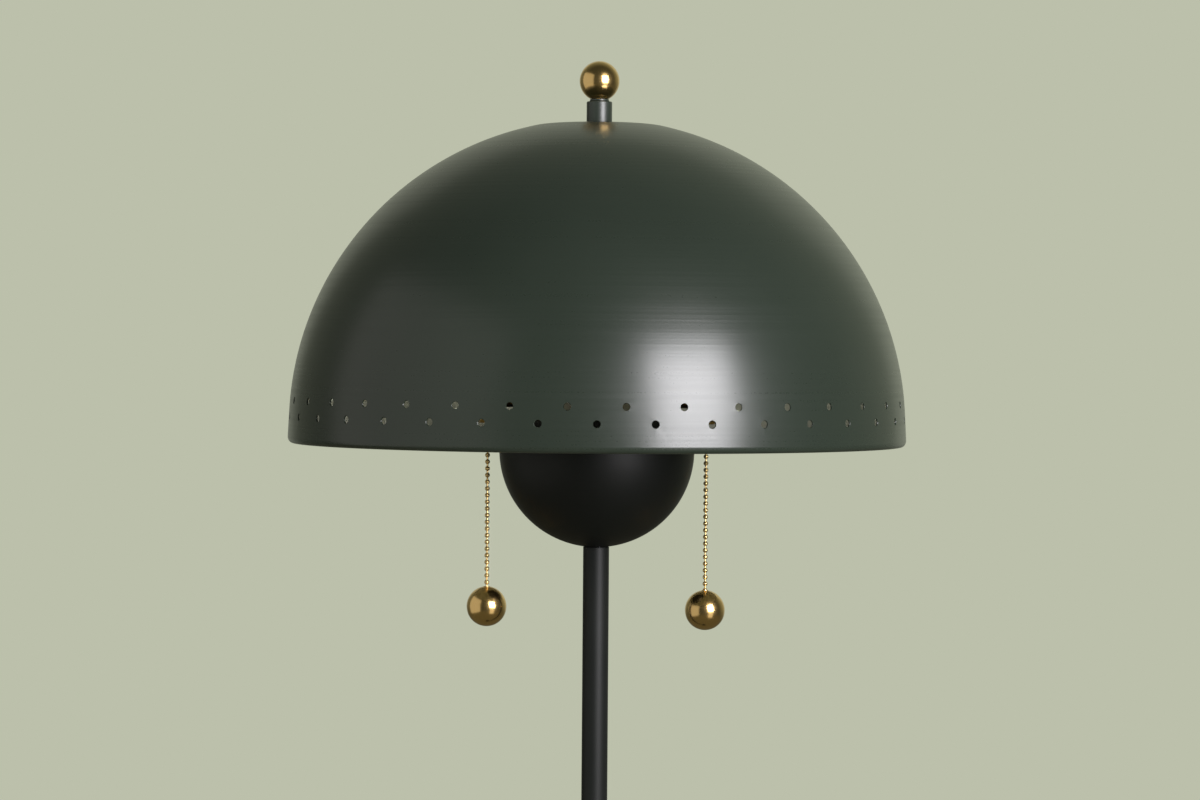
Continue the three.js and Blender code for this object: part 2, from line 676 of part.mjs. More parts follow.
/** The dome's outline on one side of the sheet: offset 0 outside, or the sheet's thickness inside. */
function domeOutline(offset) {
  const ballR = SHADE_BALL_R - offset;
  const flatZ = SHADE_TOP_Z - offset;
  const lift = 10; // the flat blends into the ball over a short slope
  const startAngle = 4;
  const endAngle = THREE.MathUtils.radToDeg(Math.acos((SHADE_FLAT_R + lift) / SHADE_BALL_R));
  return [
    [SHADE_R - offset, RIM_Z],
    ...arc(0, SHADE_BALL_Z, ballR, ballR, startAngle, endAngle, 8),
    [SHADE_FLAT_R - lift, flatZ],
    [BORE_R + 0.2, flatZ],
  ];
}

/** The dome with its two staggered rows of round holes. */
function shadeDome() {
  const shell = turned([...domeOutline(0), ...domeOutline(SHEET).reverse()], 36);
  const pitch = (2 * Math.PI) / SHADE_HOLES;
  const drill = new THREE.CylinderGeometry(SHADE_HOLE_R, SHADE_HOLE_R, 20, 6).translate(0, SHADE_R, 0);
  const tools = SHADE_ROW_Z.flatMap((z, row) =>
    Array.from({ length: SHADE_HOLES }, (_, i) => drill.clone().rotateZ((i + row / 2) * pitch).translate(0, 0, z)),
  );
  return cut(shell, ...tools);
}

/** The ball finial, flat where it meets its neck and bored for the rod. */
function finialBall() {
  const seatAngle = THREE.MathUtils.radToDeg(Math.asin((FINIAL_SEAT_Z - FINIAL_Z) / FINIAL_R));
  const meridian = arc(0, FINIAL_Z, FINIAL_R, FINIAL_R, seatAngle, 90, 8);
  meridian[meridian.length - 1][0] = 0;
  const boreTop = ROD_TOP_Z + 1;
  return turned([[BORE_R, FINIAL_SEAT_Z], ...meridian, [0, boreTop], [BORE_R, boreTop]], 16);
}

/** The threaded seat on the rod: a flange under the shade, on a short hub. */
function shadeSeat() {
  const top = SHADE_TOP_Z - SHEET - GAP;
  const flangeR = 20;
  const hubR = 9;
  const under = top - 3;
  const foot = under - 6;
  return turned([[BORE_R, foot], [hubR, foot], [hubR, under], [flangeR, under], [flangeR, top], [BORE_R, top]], 24);
}

piece("shade_seat", shadeSeat(), steel);
piece("shade_dome", shadeDome(), greenPaint);
piece("shade_collar", ring(BORE_R, COLLAR_R, SHADE_TOP_Z + GAP, COLLAR_TOP_Z, 24), greenPaint);
piece("finial_neck", ring(BORE_R, NECK_R, COLLAR_TOP_Z + GAP, FINIAL_SEAT_Z - GAP, 24), blackPaint);
piece("finial_ball", finialBall(), brass);

export default group;
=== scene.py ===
"""Floor lamp with a perforated dome shade, two pull chains and a weighted round base.

Every piece is made in millimetres about the lamp's own axis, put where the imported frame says,
and scaled to metres when it is finished. The front is towards -Y and the floor is at Z = 0.
"""

import logging
import math
from collections.abc import Callable, Iterable, Sequence
from dataclasses import dataclass, field, replace
from enum import Enum

import bmesh
import bpy
from mathutils import Matrix, Vector


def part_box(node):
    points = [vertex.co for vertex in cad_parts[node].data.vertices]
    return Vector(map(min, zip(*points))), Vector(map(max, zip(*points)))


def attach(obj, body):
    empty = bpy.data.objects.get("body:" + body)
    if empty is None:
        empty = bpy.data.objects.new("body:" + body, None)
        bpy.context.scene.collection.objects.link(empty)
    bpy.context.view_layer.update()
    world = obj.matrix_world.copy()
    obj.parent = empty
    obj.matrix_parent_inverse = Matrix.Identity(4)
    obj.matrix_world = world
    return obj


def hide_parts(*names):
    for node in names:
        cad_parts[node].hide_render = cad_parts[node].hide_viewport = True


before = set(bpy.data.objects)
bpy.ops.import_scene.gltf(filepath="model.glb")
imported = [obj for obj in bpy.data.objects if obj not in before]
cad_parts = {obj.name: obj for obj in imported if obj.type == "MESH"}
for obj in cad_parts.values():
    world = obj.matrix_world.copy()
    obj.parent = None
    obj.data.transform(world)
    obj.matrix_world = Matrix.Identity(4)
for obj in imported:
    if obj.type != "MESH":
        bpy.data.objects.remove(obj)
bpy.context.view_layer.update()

LOG = logging.getLogger("lamp")
MM = 0.001  # metres in a millimetre
SIDES = ("left", "right")
GLOW_DEPTH = 2  # millimetres that light travels inside milky glass
DRAWN_STRETCH = 0.02  # how much slower a drawn surface varies along Z than across
FILM_WIDTH = 36.0  # millimetres

Corner = tuple[float, ...]  # radius, height and, where it is rounded, the rounding
Colour = tuple[float, float, float, float]


# ---- measures taken from the frame -------------------------------------------------------


@dataclass(frozen=True)
class Room:
    """The room that a frame node takes up, in millimetres."""

    low: Vector
    high: Vector

    @classmethod
    def of(cls, node: str) -> "Room":
        """Reads a node's room from the frame.

        Args:
            node: Name of the node.

        Returns:
            Its room at rest.
        """
        low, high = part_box(node)
        return cls(low / MM, high / MM)

    @property
    def bottom(self) -> float:
        """Height of its underside."""
        return self.low.z

    @property
    def top(self) -> float:
        """Height of its upper side."""
        return self.high.z

    @property
    def radius(self) -> float:
        """Half of its larger width."""
        size = self.high - self.low
        return max(size.x, size.y) / 2

    @property
    def middle(self) -> Vector:
        """Its middle."""
        return (self.low + self.high) / 2

    @property
    def span(self) -> tuple[float, float, float]:
        """Its radius and the heights of its underside and upper side."""
        return self.radius, self.bottom, self.top


# ---- finishes ----------------------------------------------------------------------------


def srgb(code: str) -> Colour:
    """Turns an sRGB colour into the linear one that a shader takes.

    Args:
        code: Six hex digits.

    Returns:
        Red, green, blue and alpha.
    """

    def linear(value: float) -> float:
        """Linear light of one channel."""
        return value / 12.92 if value <= 0.04045 else ((value + 0.055) / 1.055) ** 2.4

    red, green, blue = (linear(int(code[i : i + 2], 16) / 255) for i in (0, 2, 4))
    return red, green, blue, 1.0


def add_node(
    tree: bpy.types.NodeTree, kind: str, inputs: dict | None = None, **settings
) -> bpy.types.Node:
    """Adds one node with its settings, values and links.

    Args:
        tree: Node tree that gets the node.
        kind: Type name of the node.
        inputs: Value or source socket for each input, by name or number.
        settings: Properties of the node.

    Returns:
        The node.
    """
    node = tree.nodes.new(kind)
    for name, value in settings.items():
        setattr(node, name, value)
    for key, value in (inputs or {}).items():
        if isinstance(value, bpy.types.NodeSocket):
            tree.links.new(value, node.inputs[key])
        else:
            node.inputs[key].default_value = value
    return node


class Pattern(Enum):
    """How a layer of a finish varies over the surface."""

    CLOUDS = "clouds"  # soft irregular patches, such as orange peel or stains
    CELLS = "cells"  # grains or pores side by side
    RINGS = "rings"  # what a tool leaves on a piece that turns on a lathe
    DRAWN = "drawn"  # fine lines along Z, from pulling through a die
    THREAD = "thread"  # a screw thread along Z


@dataclass(frozen=True)
class Layer:
    """One pattern of a finish and what it changes.

    Sizes and reliefs are in millimetres.
    """

    pattern: Pattern
    size: float
    relief: float = 0.0
    sheen: float = 0.0
    tint: float = 0.0
    detail: float = 2.0


@dataclass(frozen=True)
class Finish:
    """A real material with the way that its surface was made."""

    title: str
    colour: str
    second: str
    roughness: float
    layers: tuple[Layer, ...]
    metallic: float = 0.0
    ior: float = 1.5
    coat: float = 0.0
    coat_roughness: float = 0.1
    subsurface: float = 0.0
    axis: tuple[float, float, float] = (0.0, 0.0, 0.0)

    def about(self, name: str, x: float, y: float = 0.0, z: float = 0.0) -> "Finish":
        """The same finish with its patterns turned about another point.

        Args:
            name: What the copy is for.
            x: Place of the point along X, in millimetres.
            y: Place along Y.
            z: Place along Z.

        Returns:
            The copy.
        """
        return replace(self, title=f"{self.title}_{name}", axis=(x, y, z))

    def material(self) -> bpy.types.Material:
        """Makes the material, or finds it where it is already made."""
        made = bpy.data.materials.get(self.title)
        if made:
            return made
        made = bpy.data.materials.new(self.title)
        made.use_nodes = True
        made.diffuse_color = srgb(self.colour)
        tree = made.node_tree
        tree.nodes.clear()
        shader = add_node(
            tree,
            "ShaderNodeBsdfPrincipled",
            {
                "Base Color": srgb(self.colour),
                "Metallic": self.metallic,
                "Roughness": self.roughness,
                "Coat Weight": self.coat,
                "Coat Roughness": self.coat_roughness,
                "Subsurface Weight": self.subsurface,
            },
        )
        if not self.metallic:
            shader.inputs["IOR"].default_value = self.ior
        if self.subsurface:
            shader.inputs["Subsurface Scale"].default_value = GLOW_DEPTH * MM
        add_node(tree, "ShaderNodeOutputMaterial", {"Surface": shader.outputs[0]})
        self._lay(tree, shader)
        return made

    def _lay(self, tree: bpy.types.NodeTree, shader: bpy.types.Node) -> None:
        """Lays the patterns over the shader's colour, roughness and normal."""
        places = add_node(tree, "ShaderNodeTexCoord").outputs["Object"]
        moved = add_node(
            tree, "ShaderNodeMapping", {"Vector": places, "Location": [-v * MM for v in self.axis]}
        ).outputs[0]
        tint = normal = None
        spread = sum(layer.sheen for layer in self.layers)
        sheen: bpy.types.NodeSocket | float = self.roughness - spread / 2
        for layer in self.layers:
            value = self._pattern(tree, moved, layer)
            if layer.tint:
                sums = {0: value, 1: layer.tint, 2: tint if tint else 0.0}
                tint = add_node(tree, "ShaderNodeMath", sums, operation="MULTIPLY_ADD").outputs[0]
            if layer.sheen:
                sums = {0: value, 1: layer.sheen, 2: sheen}
                sheen = add_node(
                    tree, "ShaderNodeMath", sums, operation="MULTIPLY_ADD", use_clamp=True
                ).outputs[0]
            if layer.relief:
                bump = {"Height": value, "Distance": layer.relief * MM, "Strength": 1.0}
                if normal:
                    bump["Normal"] = normal
                normal = add_node(tree, "ShaderNodeBump", bump).outputs[0]
        if tint:
            inputs = {0: tint, 6: srgb(self.colour), 7: srgb(self.second)}
            mixed = add_node(tree, "ShaderNodeMix", inputs, data_type="RGBA").outputs[2]
            tree.links.new(mixed, shader.inputs["Base Color"])
        if isinstance(sheen, bpy.types.NodeSocket):
            tree.links.new(sheen, shader.inputs["Roughness"])
        if normal:
            tree.links.new(normal, shader.inputs["Normal"])
            if self.coat:
                tree.links.new(normal, shader.inputs["Coat Normal"])

    @staticmethod
    def _pattern(
        tree: bpy.types.NodeTree, places: bpy.types.NodeSocket, layer: Layer
    ) -> bpy.types.NodeSocket:
        """Makes one pattern's value, from 0 to 1."""
        scale = 1 / (layer.size * MM)
        if layer.pattern is Pattern.CELLS:
            inputs = {"Vector": places, "Scale": scale}
            return add_node(tree, "ShaderNodeTexVoronoi", inputs).outputs["Distance"]
        if layer.pattern is Pattern.CLOUDS:
            inputs = {"Vector": places, "Scale": scale, "Detail": layer.detail}
            return add_node(tree, "ShaderNodeTexNoise", inputs).outputs[0]
        if layer.pattern is Pattern.DRAWN:
            stretch = {"Vector": places, "Scale": (1, 1, DRAWN_STRETCH)}
            long = add_node(tree, "ShaderNodeMapping", stretch).outputs[0]
            inputs = {"Vector": long, "Scale": scale, "Detail": layer.detail}
            return add_node(tree, "ShaderNodeTexNoise", inputs).outputs[0]
        parts = add_node(tree, "ShaderNodeSeparateXYZ", {0: places})
        x, y, z = parts.outputs
        if layer.pattern is Pattern.THREAD:
            angle = add_node(tree, "ShaderNodeMath", {0: y, 1: x}, operation="ARCTAN2").outputs[0]
            turn = add_node(
                tree, "ShaderNodeMath", {0: angle, 1: math.tau}, operation="DIVIDE"
            ).outputs[0]
            rise = add_node(
                tree, "ShaderNodeMath", {0: z, 1: scale, 2: turn}, operation="MULTIPLY_ADD"
            ).outputs[0]
            wave = add_node(
                tree, "ShaderNodeMath", {0: rise, 1: 0.5}, operation="PINGPONG"
            ).outputs[0]
            return add_node(
                tree, "ShaderNodeMath", {0: wave, 1: 2.0}, operation="MULTIPLY"
            ).outputs[0]
        flat = add_node(tree, "ShaderNodeCombineXYZ", {"X": x, "Y": y}).outputs[0]
        out = add_node(tree, "ShaderNodeVectorMath", {0: flat}, operation="LENGTH").outputs["Value"]
        ring = add_node(tree, "ShaderNodeCombineXYZ", {"X": out, "Z": z}).outputs[0]
        inputs = {"Vector": ring, "Scale": scale, "Detail": layer.detail, "Roughness": 0.7}
        return add_node(tree, "ShaderNodeTexNoise", inputs).outputs[0]


# Polyester powder coat, baked on spun steel: satin, with a faint orange peel, and the rings of
# the spinning tool just showing through it.
GREEN_POWDER_COAT = Finish(
    "green_black_satin_powder_coat",
    "222922",
    "262d26",
    0.29,
    (
        Layer(Pattern.CLOUDS, 60, tint=0.9, sheen=0.03),
        Layer(Pattern.RINGS, 3.0, relief=0.065, sheen=0.08, detail=1),
        Layer(Pattern.CLOUDS, 1.6, relief=0.010, sheen=0.03),
    ),
    coat=0.05,
    coat_roughness=0.24,
)
# The same coat on small turned parts, where the powder lies thicker and flatter.
SMALL_PART_COAT = replace(
    GREEN_POWDER_COAT,
    title="satin_powder_coat_on_small_parts",
    roughness=0.40,
    layers=(
        Layer(Pattern.CLOUDS, 20, tint=0.9, sheen=0.03),
        Layer(Pattern.RINGS, 1.2, relief=0.002, sheen=0.05),
        Layer(Pattern.CLOUDS, 1.6, relief=0.003),
    ),
    coat=0.25,
    coat_roughness=0.36,
)
# White spray paint inside the shade, its colour greyed as painted shade for the inside, which lies in the
# dome's shadow; flatter, with the dust of the last pass.
WHITE_PAINT_GREYED_AS_SHADE = Finish(
    "white_sprayed_enamel_greyed_as_shade",
    "c3c2bb",
    "b4b2aa",
    0.55,
    (
        Layer(Pattern.CLOUDS, 90, tint=0.5),
        Layer(Pattern.RINGS, 3.0, relief=0.01, tint=0.2),
        Layer(Pattern.CLOUDS, 0.9, relief=0.02, sheen=0.1),
    ),
)
# Black polyester powder coat on the bowl, stem and base. This copy, on the bowl and base, is painted darker
# than the tube's: painted shade for the bowl, which hangs in the shade's shadow.
BLACK_COAT_WITH_PAINTED_SHADE = Finish(
    "black_satin_powder_coat",
    "0a0c0b",
    "0e100e",
    0.48,
    (
        Layer(Pattern.CLOUDS, 45, tint=0.9, sheen=0.03),
        Layer(Pattern.RINGS, 2.0, relief=0.003, sheen=0.05, detail=4),
        Layer(Pattern.CLOUDS, 1.4, relief=0.010, sheen=0.04),
    ),
    ior=1.34,
)
# The same coat on drawn tube, whose die lines show faintly along it, painted lighter than the bowl's copy as
# painted light on the lit stem.
BLACK_TUBE_COAT_WITH_PAINTED_LIGHT = replace(
    BLACK_COAT_WITH_PAINTED_SHADE,
    title="black_satin_powder_coat_on_tube",
    colour="131514",
    second="181a18",
    roughness=0.5,
    ior=1.28,
    layers=(
        Layer(Pattern.CLOUDS, 45, tint=0.9, sheen=0.03),
        Layer(Pattern.DRAWN, 0.8, relief=0.003, sheen=0.05),
        Layer(Pattern.CLOUDS, 1.4, relief=0.010, sheen=0.04),
    ),
)
# Turned brass balls, buffed and lacquered: a mirror with the finest turning lines left in it.
POLISHED_BRASS = Finish(
    "polished_lacquered_brass",
    "efca86",
    "e0b46a",
    0.21,
    (
        Layer(Pattern.CLOUDS, 9, tint=0.5, sheen=0.05),
        Layer(Pattern.RINGS, 0.6, relief=0.0004, sheen=0.05, detail=3),
    ),
    metallic=1.0,
    coat=0.4,
    coat_roughness=0.06,
)
# Bead chain, stamped from brass strip and barrel-polished: brighter beads, duller necks.
CHAIN_BRASS = Finish(
    "barrel_polished_chain_brass",
    "f3d79c",
    "cfa964",
    0.32,
    (
        Layer(Pattern.CLOUDS, 3, tint=0.5, sheen=0.12),
        Layer(Pattern.CLOUDS, 0.5, relief=0.01, sheen=0.08),
    ),
    metallic=1.0,
)
# Bar and tube brass as it comes off the lathe, a little tarnished.
TURNED_BRASS = Finish(
    "turned_bare_brass",
    "c19a55",
    "8f6f3a",
    0.34,
    (
        Layer(Pattern.CLOUDS, 12, tint=0.6, sheen=0.1),
        Layer(Pattern.RINGS, 0.4, relief=0.003, sheen=0.12, detail=4),
    ),
    metallic=1.0,
)
THREADED_BRASS = replace(
    TURNED_BRASS,
    title="threaded_brass_rod",
    layers=(
        Layer(Pattern.CLOUDS, 12, tint=0.6, sheen=0.1),
        Layer(Pattern.THREAD, 1.0, relief=0.35, tint=0.25),
    ),
)
# Zinc plate on pressed and turned steel: bluish, with a fine crystal and a cloudy passivation.
ZINC_STEEL = Finish(
    "zinc_plated_steel",
    "b4b9bc",
    "8e9290",
    0.34,
    (
        Layer(Pattern.CLOUDS, 14, tint=0.6, sheen=0.14),
        Layer(Pattern.CELLS, 0.7, relief=0.004, tint=0.2),
    ),
    metallic=1.0,
)
THREADED_STEEL = replace(
    ZINC_STEEL,
    title="threaded_zinc_plated_steel",
    layers=(
        Layer(Pattern.CLOUDS, 14, tint=0.6, sheen=0.14),
        Layer(Pattern.THREAD, 1.0, relief=0.35, tint=0.3),
    ),
)
# Blued spring strip, bright where it was rolled.
SPRING_STEEL = Finish(
    "blued_spring_steel",
    "7d8288",
    "4d5560",
    0.28,
    (
        Layer(Pattern.CLOUDS, 4, tint=0.8, sheen=0.1),
        Layer(Pattern.CLOUDS, 0.4, relief=0.002, sheen=0.06),
    ),
    metallic=1.0,
)
# Grey iron from a sand mould, with a thin coat of black primer.
CAST_IRON = Finish(
    "primed_sand_cast_iron",
    "3b3b3a",
    "2a2928",
    0.72,
    (
        Layer(Pattern.CLOUDS, 22, tint=0.7, sheen=0.1),
        Layer(Pattern.CELLS, 1.1, relief=0.16, sheen=0.1),
        Layer(Pattern.CLOUDS, 0.6, relief=0.08),
    ),
)
# Closed-cell foam rubber, cut from sheet.
CELL_FOAM = Finish(
    "closed_cell_foam_rubber",
    "232323",
    "2f2e2d",
    0.93,
    (Layer(Pattern.CELLS, 0.6, relief=0.12, tint=0.6), Layer(Pattern.CLOUDS, 8, tint=0.4)),
)
# Urea moulding, an ivory white with a hard gloss and faint flow marks.
WHITE_THERMOSET = Finish(
    "white_urea_moulding",
    "dcd7ca",
    "cfc8b8",
    0.33,
    (
        Layer(Pattern.CLOUDS, 18, tint=0.6, sheen=0.06),
        Layer(Pattern.CLOUDS, 1.2, relief=0.006, sheen=0.05),
    ),
    ior=1.55,
    coat=0.2,
)
# Glass-filled nylon, moulded in a lightly eroded tool.
BLACK_NYLON = Finish(
    "moulded_black_nylon",
    "1c1c1c",
    "262625",
    0.48,
    (Layer(Pattern.CLOUDS, 9, tint=0.6), Layer(Pattern.CELLS, 0.45, relief=0.02, sheen=0.1)),
)
# Opal glass: milky right through, with a fire-polished skin.
OPAL_GLASS = Finish(
    "blown_opal_glass",
    "efece2",
    "e2ded2",
    0.16,
    (Layer(Pattern.CLOUDS, 16, tint=0.5, sheen=0.04), Layer(Pattern.CLOUDS, 5, relief=0.01)),
    coat=0.6,
    coat_roughness=0.04,
    subsurface=0.25,
)
# Nickel-plated aluminium, rolled to the shape of its thread.
ROLLED_ALUMINIUM = Finish(
    "rolled_nickelled_aluminium",
    "c3c2bd",
    "9b9992",
    0.27,
    (
        Layer(Pattern.CLOUDS, 6, tint=0.6, sheen=0.12),
        Layer(Pattern.RINGS, 0.3, relief=0.002, sheen=0.08, detail=3),
    ),
    metallic=1.0,
)
# PVC sleeve on wire, with the soft bloom of extrusion.
PVC_SLEEVE = Finish(
    "extruded_pvc_sleeve",
    "34363a",
    "3e4044",
    0.46,
    (Layer(Pattern.CLOUDS, 11, tint=0.7, sheen=0.08), Layer(Pattern.CLOUDS, 0.7, relief=0.01)),
)


# ---- making ------------------------------------------------------------------------------


def arc(centre: Corner, radius: float, start: float, end: float, steps: int) -> list[Corner]:
    """Points on an arc in the half plane of a turned piece.

    Args:
        centre: Radius and height of its centre.
        radius: Radius of the arc.
        start: First angle above the horizontal, in degrees.
        end: Last angle.
        steps: Number of steps.

    Returns:
        Radius and height of each point.
    """
    angles = [math.radians(start + (end - start) * i / steps) for i in range(steps + 1)]
    return [(centre[0] + radius * math.cos(a), centre[1] + radius * math.sin(a)) for a in angles]


def rounded(corners: Sequence[Corner], closed: bool = True, steps: int = 4) -> list[Corner]:
    """Rounds the corners of an outline.

    Args:
        corners: Radius, height and, where the corner is rounded, the rounding's radius.
        closed: Whether the last corner joins the first.
        steps: Steps in each rounding.

    Returns:
        The outline's points.
    """
    points: list[Corner] = []
    for i, corner in enumerate(corners):
        here = Vector(corner[:2])
        ends = not closed and i in (0, len(corners) - 1)
        if len(corner) < 3 or ends:
            points.append(tuple(here))
            continue
        back = Vector(corners[i - 1][:2]) - here
        ahead = Vector(corners[(i + 1) % len(corners)][:2]) - here
        half = back.angle(ahead) / 2
        reach = min(corner[2] / math.tan(half), back.length * 0.49, ahead.length * 0.49)
        back.normalize()
        ahead.normalize()
        middle = here + (back + ahead).normalized() * (reach / math.cos(half))
        first, last = here + back * reach - middle, here + ahead * reach - middle
        sweep = first.angle(last)
        for k in range(steps + 1):
            a, b = math.sin((1 - k / steps) * sweep), math.sin(k / steps * sweep)
            points.append(tuple(middle + (first * a + last * b) / math.sin(sweep)))
    return points


def turned(points: Sequence[Corner], steps: int, closed: bool = True) -> bmesh.types.BMesh:
    """Spins an outline round the Z axis.

    Args:
        points: Radius and height of each point.
        steps: Number of steps round the axis.
        closed: Whether the last point joins the first; if not, both ends lie on the axis.

    Returns:
        The turned solid.
    """
    bm = bmesh.new()
    verts = [bm.verts.new((r, 0, z)) for r, z in points]
    after = verts[1:] + verts[:1] if closed else verts[1:]
    edges = [bm.edges.new(pair) for pair in zip(verts, after)]
    bmesh.ops.spin(
        bm, geom=verts + edges, cent=(0, 0, 0), axis=(0, 0, 1), angle=math.tau, steps=steps, use_merge=True
    )
    bmesh.ops.remove_doubles(bm, verts=bm.verts, dist=1e-4)
    bmesh.ops.recalc_face_normals(bm, faces=bm.faces)
    return bm


def join(bm: bmesh.types.BMesh, other: bmesh.types.BMesh, move: Matrix = Matrix.Identity(4)) -> None:
    """Adds a copy of one mesh to another.

    Args:
        bm: Mesh that grows.
        other: Mesh that is copied.
        move: Where the copy goes.
    """
    spare = bpy.data.meshes.new("spare")
    other.to_mesh(spare)
    spare.transform(move)
    bm.from_mesh(spare)
    bpy.data.meshes.remove(spare)


def drilled(bm: bmesh.types.BMesh, tools: bmesh.types.BMesh) -> bmesh.types.BMesh:
    """Cuts tools out of a solid.

    Args:
        bm: The solid, which is used up.
        tools: The tools, which are used up.

    Returns:
        What is left of the solid.
    """
    objects = []
    for part in (bm, tools):
        mesh = bpy.data.meshes.new("blank")
        part.to_mesh(mesh)
        part.free()
        objects.append(bpy.data.objects.new("blank", mesh))
        bpy.context.scene.collection.objects.link(objects[-1])
    solid, cutter = objects
    modifier = solid.modifiers.new("cut", "BOOLEAN")
    modifier.object, modifier.operation, modifier.solver = cutter, "DIFFERENCE", "EXACT"
    depsgraph = bpy.context.evaluated_depsgraph_get()
    left = bmesh.new()
    left.from_mesh(solid.evaluated_get(depsgraph).to_mesh())
    for spent in objects:
        mesh = spent.data
        bpy.data.objects.remove(spent)
        bpy.data.meshes.remove(mesh)
    bmesh.ops.remove_doubles(left, verts=left.verts, dist=1e-3)
    return left


@dataclass(frozen=True)
class Label:
    """What a piece is called, what it moves with, where its finish belongs and what it stands for."""

    name: str
    body: str
    slot: str
    nodes: tuple[str, ...]


def finished(
    bm: bmesh.types.BMesh,
    label: Label,
    finishes: Sequence[Finish],
    move: Matrix = Matrix.Identity(4),
    sharp: float = 32.0,
    choose: Callable[[bmesh.types.BMFace], int] | None = None,
) -> bpy.types.Object:
    """Turns a mesh into a piece of the lamp.

    Args:
        bm: Mesh in millimetres, which is used up.
        label: What the piece is.
        finishes: Its finishes.
        move: Where it goes, in millimetres.
        sharp: Angle in degrees above which an edge stays crisp.
        choose: Number of the finish for a face, where there are several.

    Returns:
        The piece.
    """
    bmesh.ops.transform(bm, matrix=move, verts=bm.verts)
    for face in bm.faces:
        face.smooth = True
        face.material_index = choose(face) if choose else 0
    bmesh.ops.scale(bm, vec=(MM, MM, MM), verts=bm.verts)
    mesh = bpy.data.meshes.new(label.name)
    bm.to_mesh(mesh)
    bm.free()
    mesh.set_sharp_from_angle(angle=math.radians(sharp))
    for finish in finishes:
        mesh.materials.append(finish.material())
    piece = bpy.data.objects.new(label.name, mesh)
    bpy.context.scene.collection.objects.link(piece)
    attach(piece, label.body)
    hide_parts(*label.nodes)
    LOG.info("made %s, %d faces", label.name, len(mesh.polygons))
    return piece


def along_x(x: float = 0.0, z: float = 0.0) -> Matrix:
    """Lays a turned piece down along X, with its foot at a place."""
    return Matrix.Translation((x, 0, z)) @ Matrix.Rotation(math.pi / 2, 4, "Y")


def along_y(z: float = 0.0) -> Matrix:
    """Lays a turned piece down along Y at a height."""
    return Matrix.Translation((0, 0, z)) @ Matrix.Rotation(-math.pi / 2, 4, "X")


# ---- studio ------------------------------------------------------------------------------


@dataclass(frozen=True)
class SoftBox:
    """A flat soft light that looks at the shade."""

    name: str
    bearing: float  # degrees to the right of the camera's line, as seen from the lamp
    height: float  # degrees above the shade's edge
    distance: float  # metres
    size: tuple[float, float]  # metres
    level: float  # brightness of its face, where 1 is white
    colour: str

    def place(self, target: Vector) -> None:
        """Puts the light in the scene.

        Args:
            target: Point that it looks at.
        """
        data = bpy.data.lights.new(self.name, "AREA")
        data.shape = "RECTANGLE"
        data.size, data.size_y = self.size
        data.energy = self.level * math.pi * self.size[0] * self.size[1]
        data.color = srgb(self.colour)[:3]
        bearing, height = math.radians(self.bearing), math.radians(self.height)
        away = Vector(
            (math.sin(bearing) * math.cos(height), -math.cos(bearing) * math.cos(height), math.sin(height))
        )
        lamp = bpy.data.objects.new(self.name, data)
        lamp.location = target + away * self.distance
        lamp.rotation_euler = away.to_track_quat("Z", "Y").to_euler()
        bpy.context.scene.collection.objects.link(lamp)
        LOG.info("lit %s", self.name)


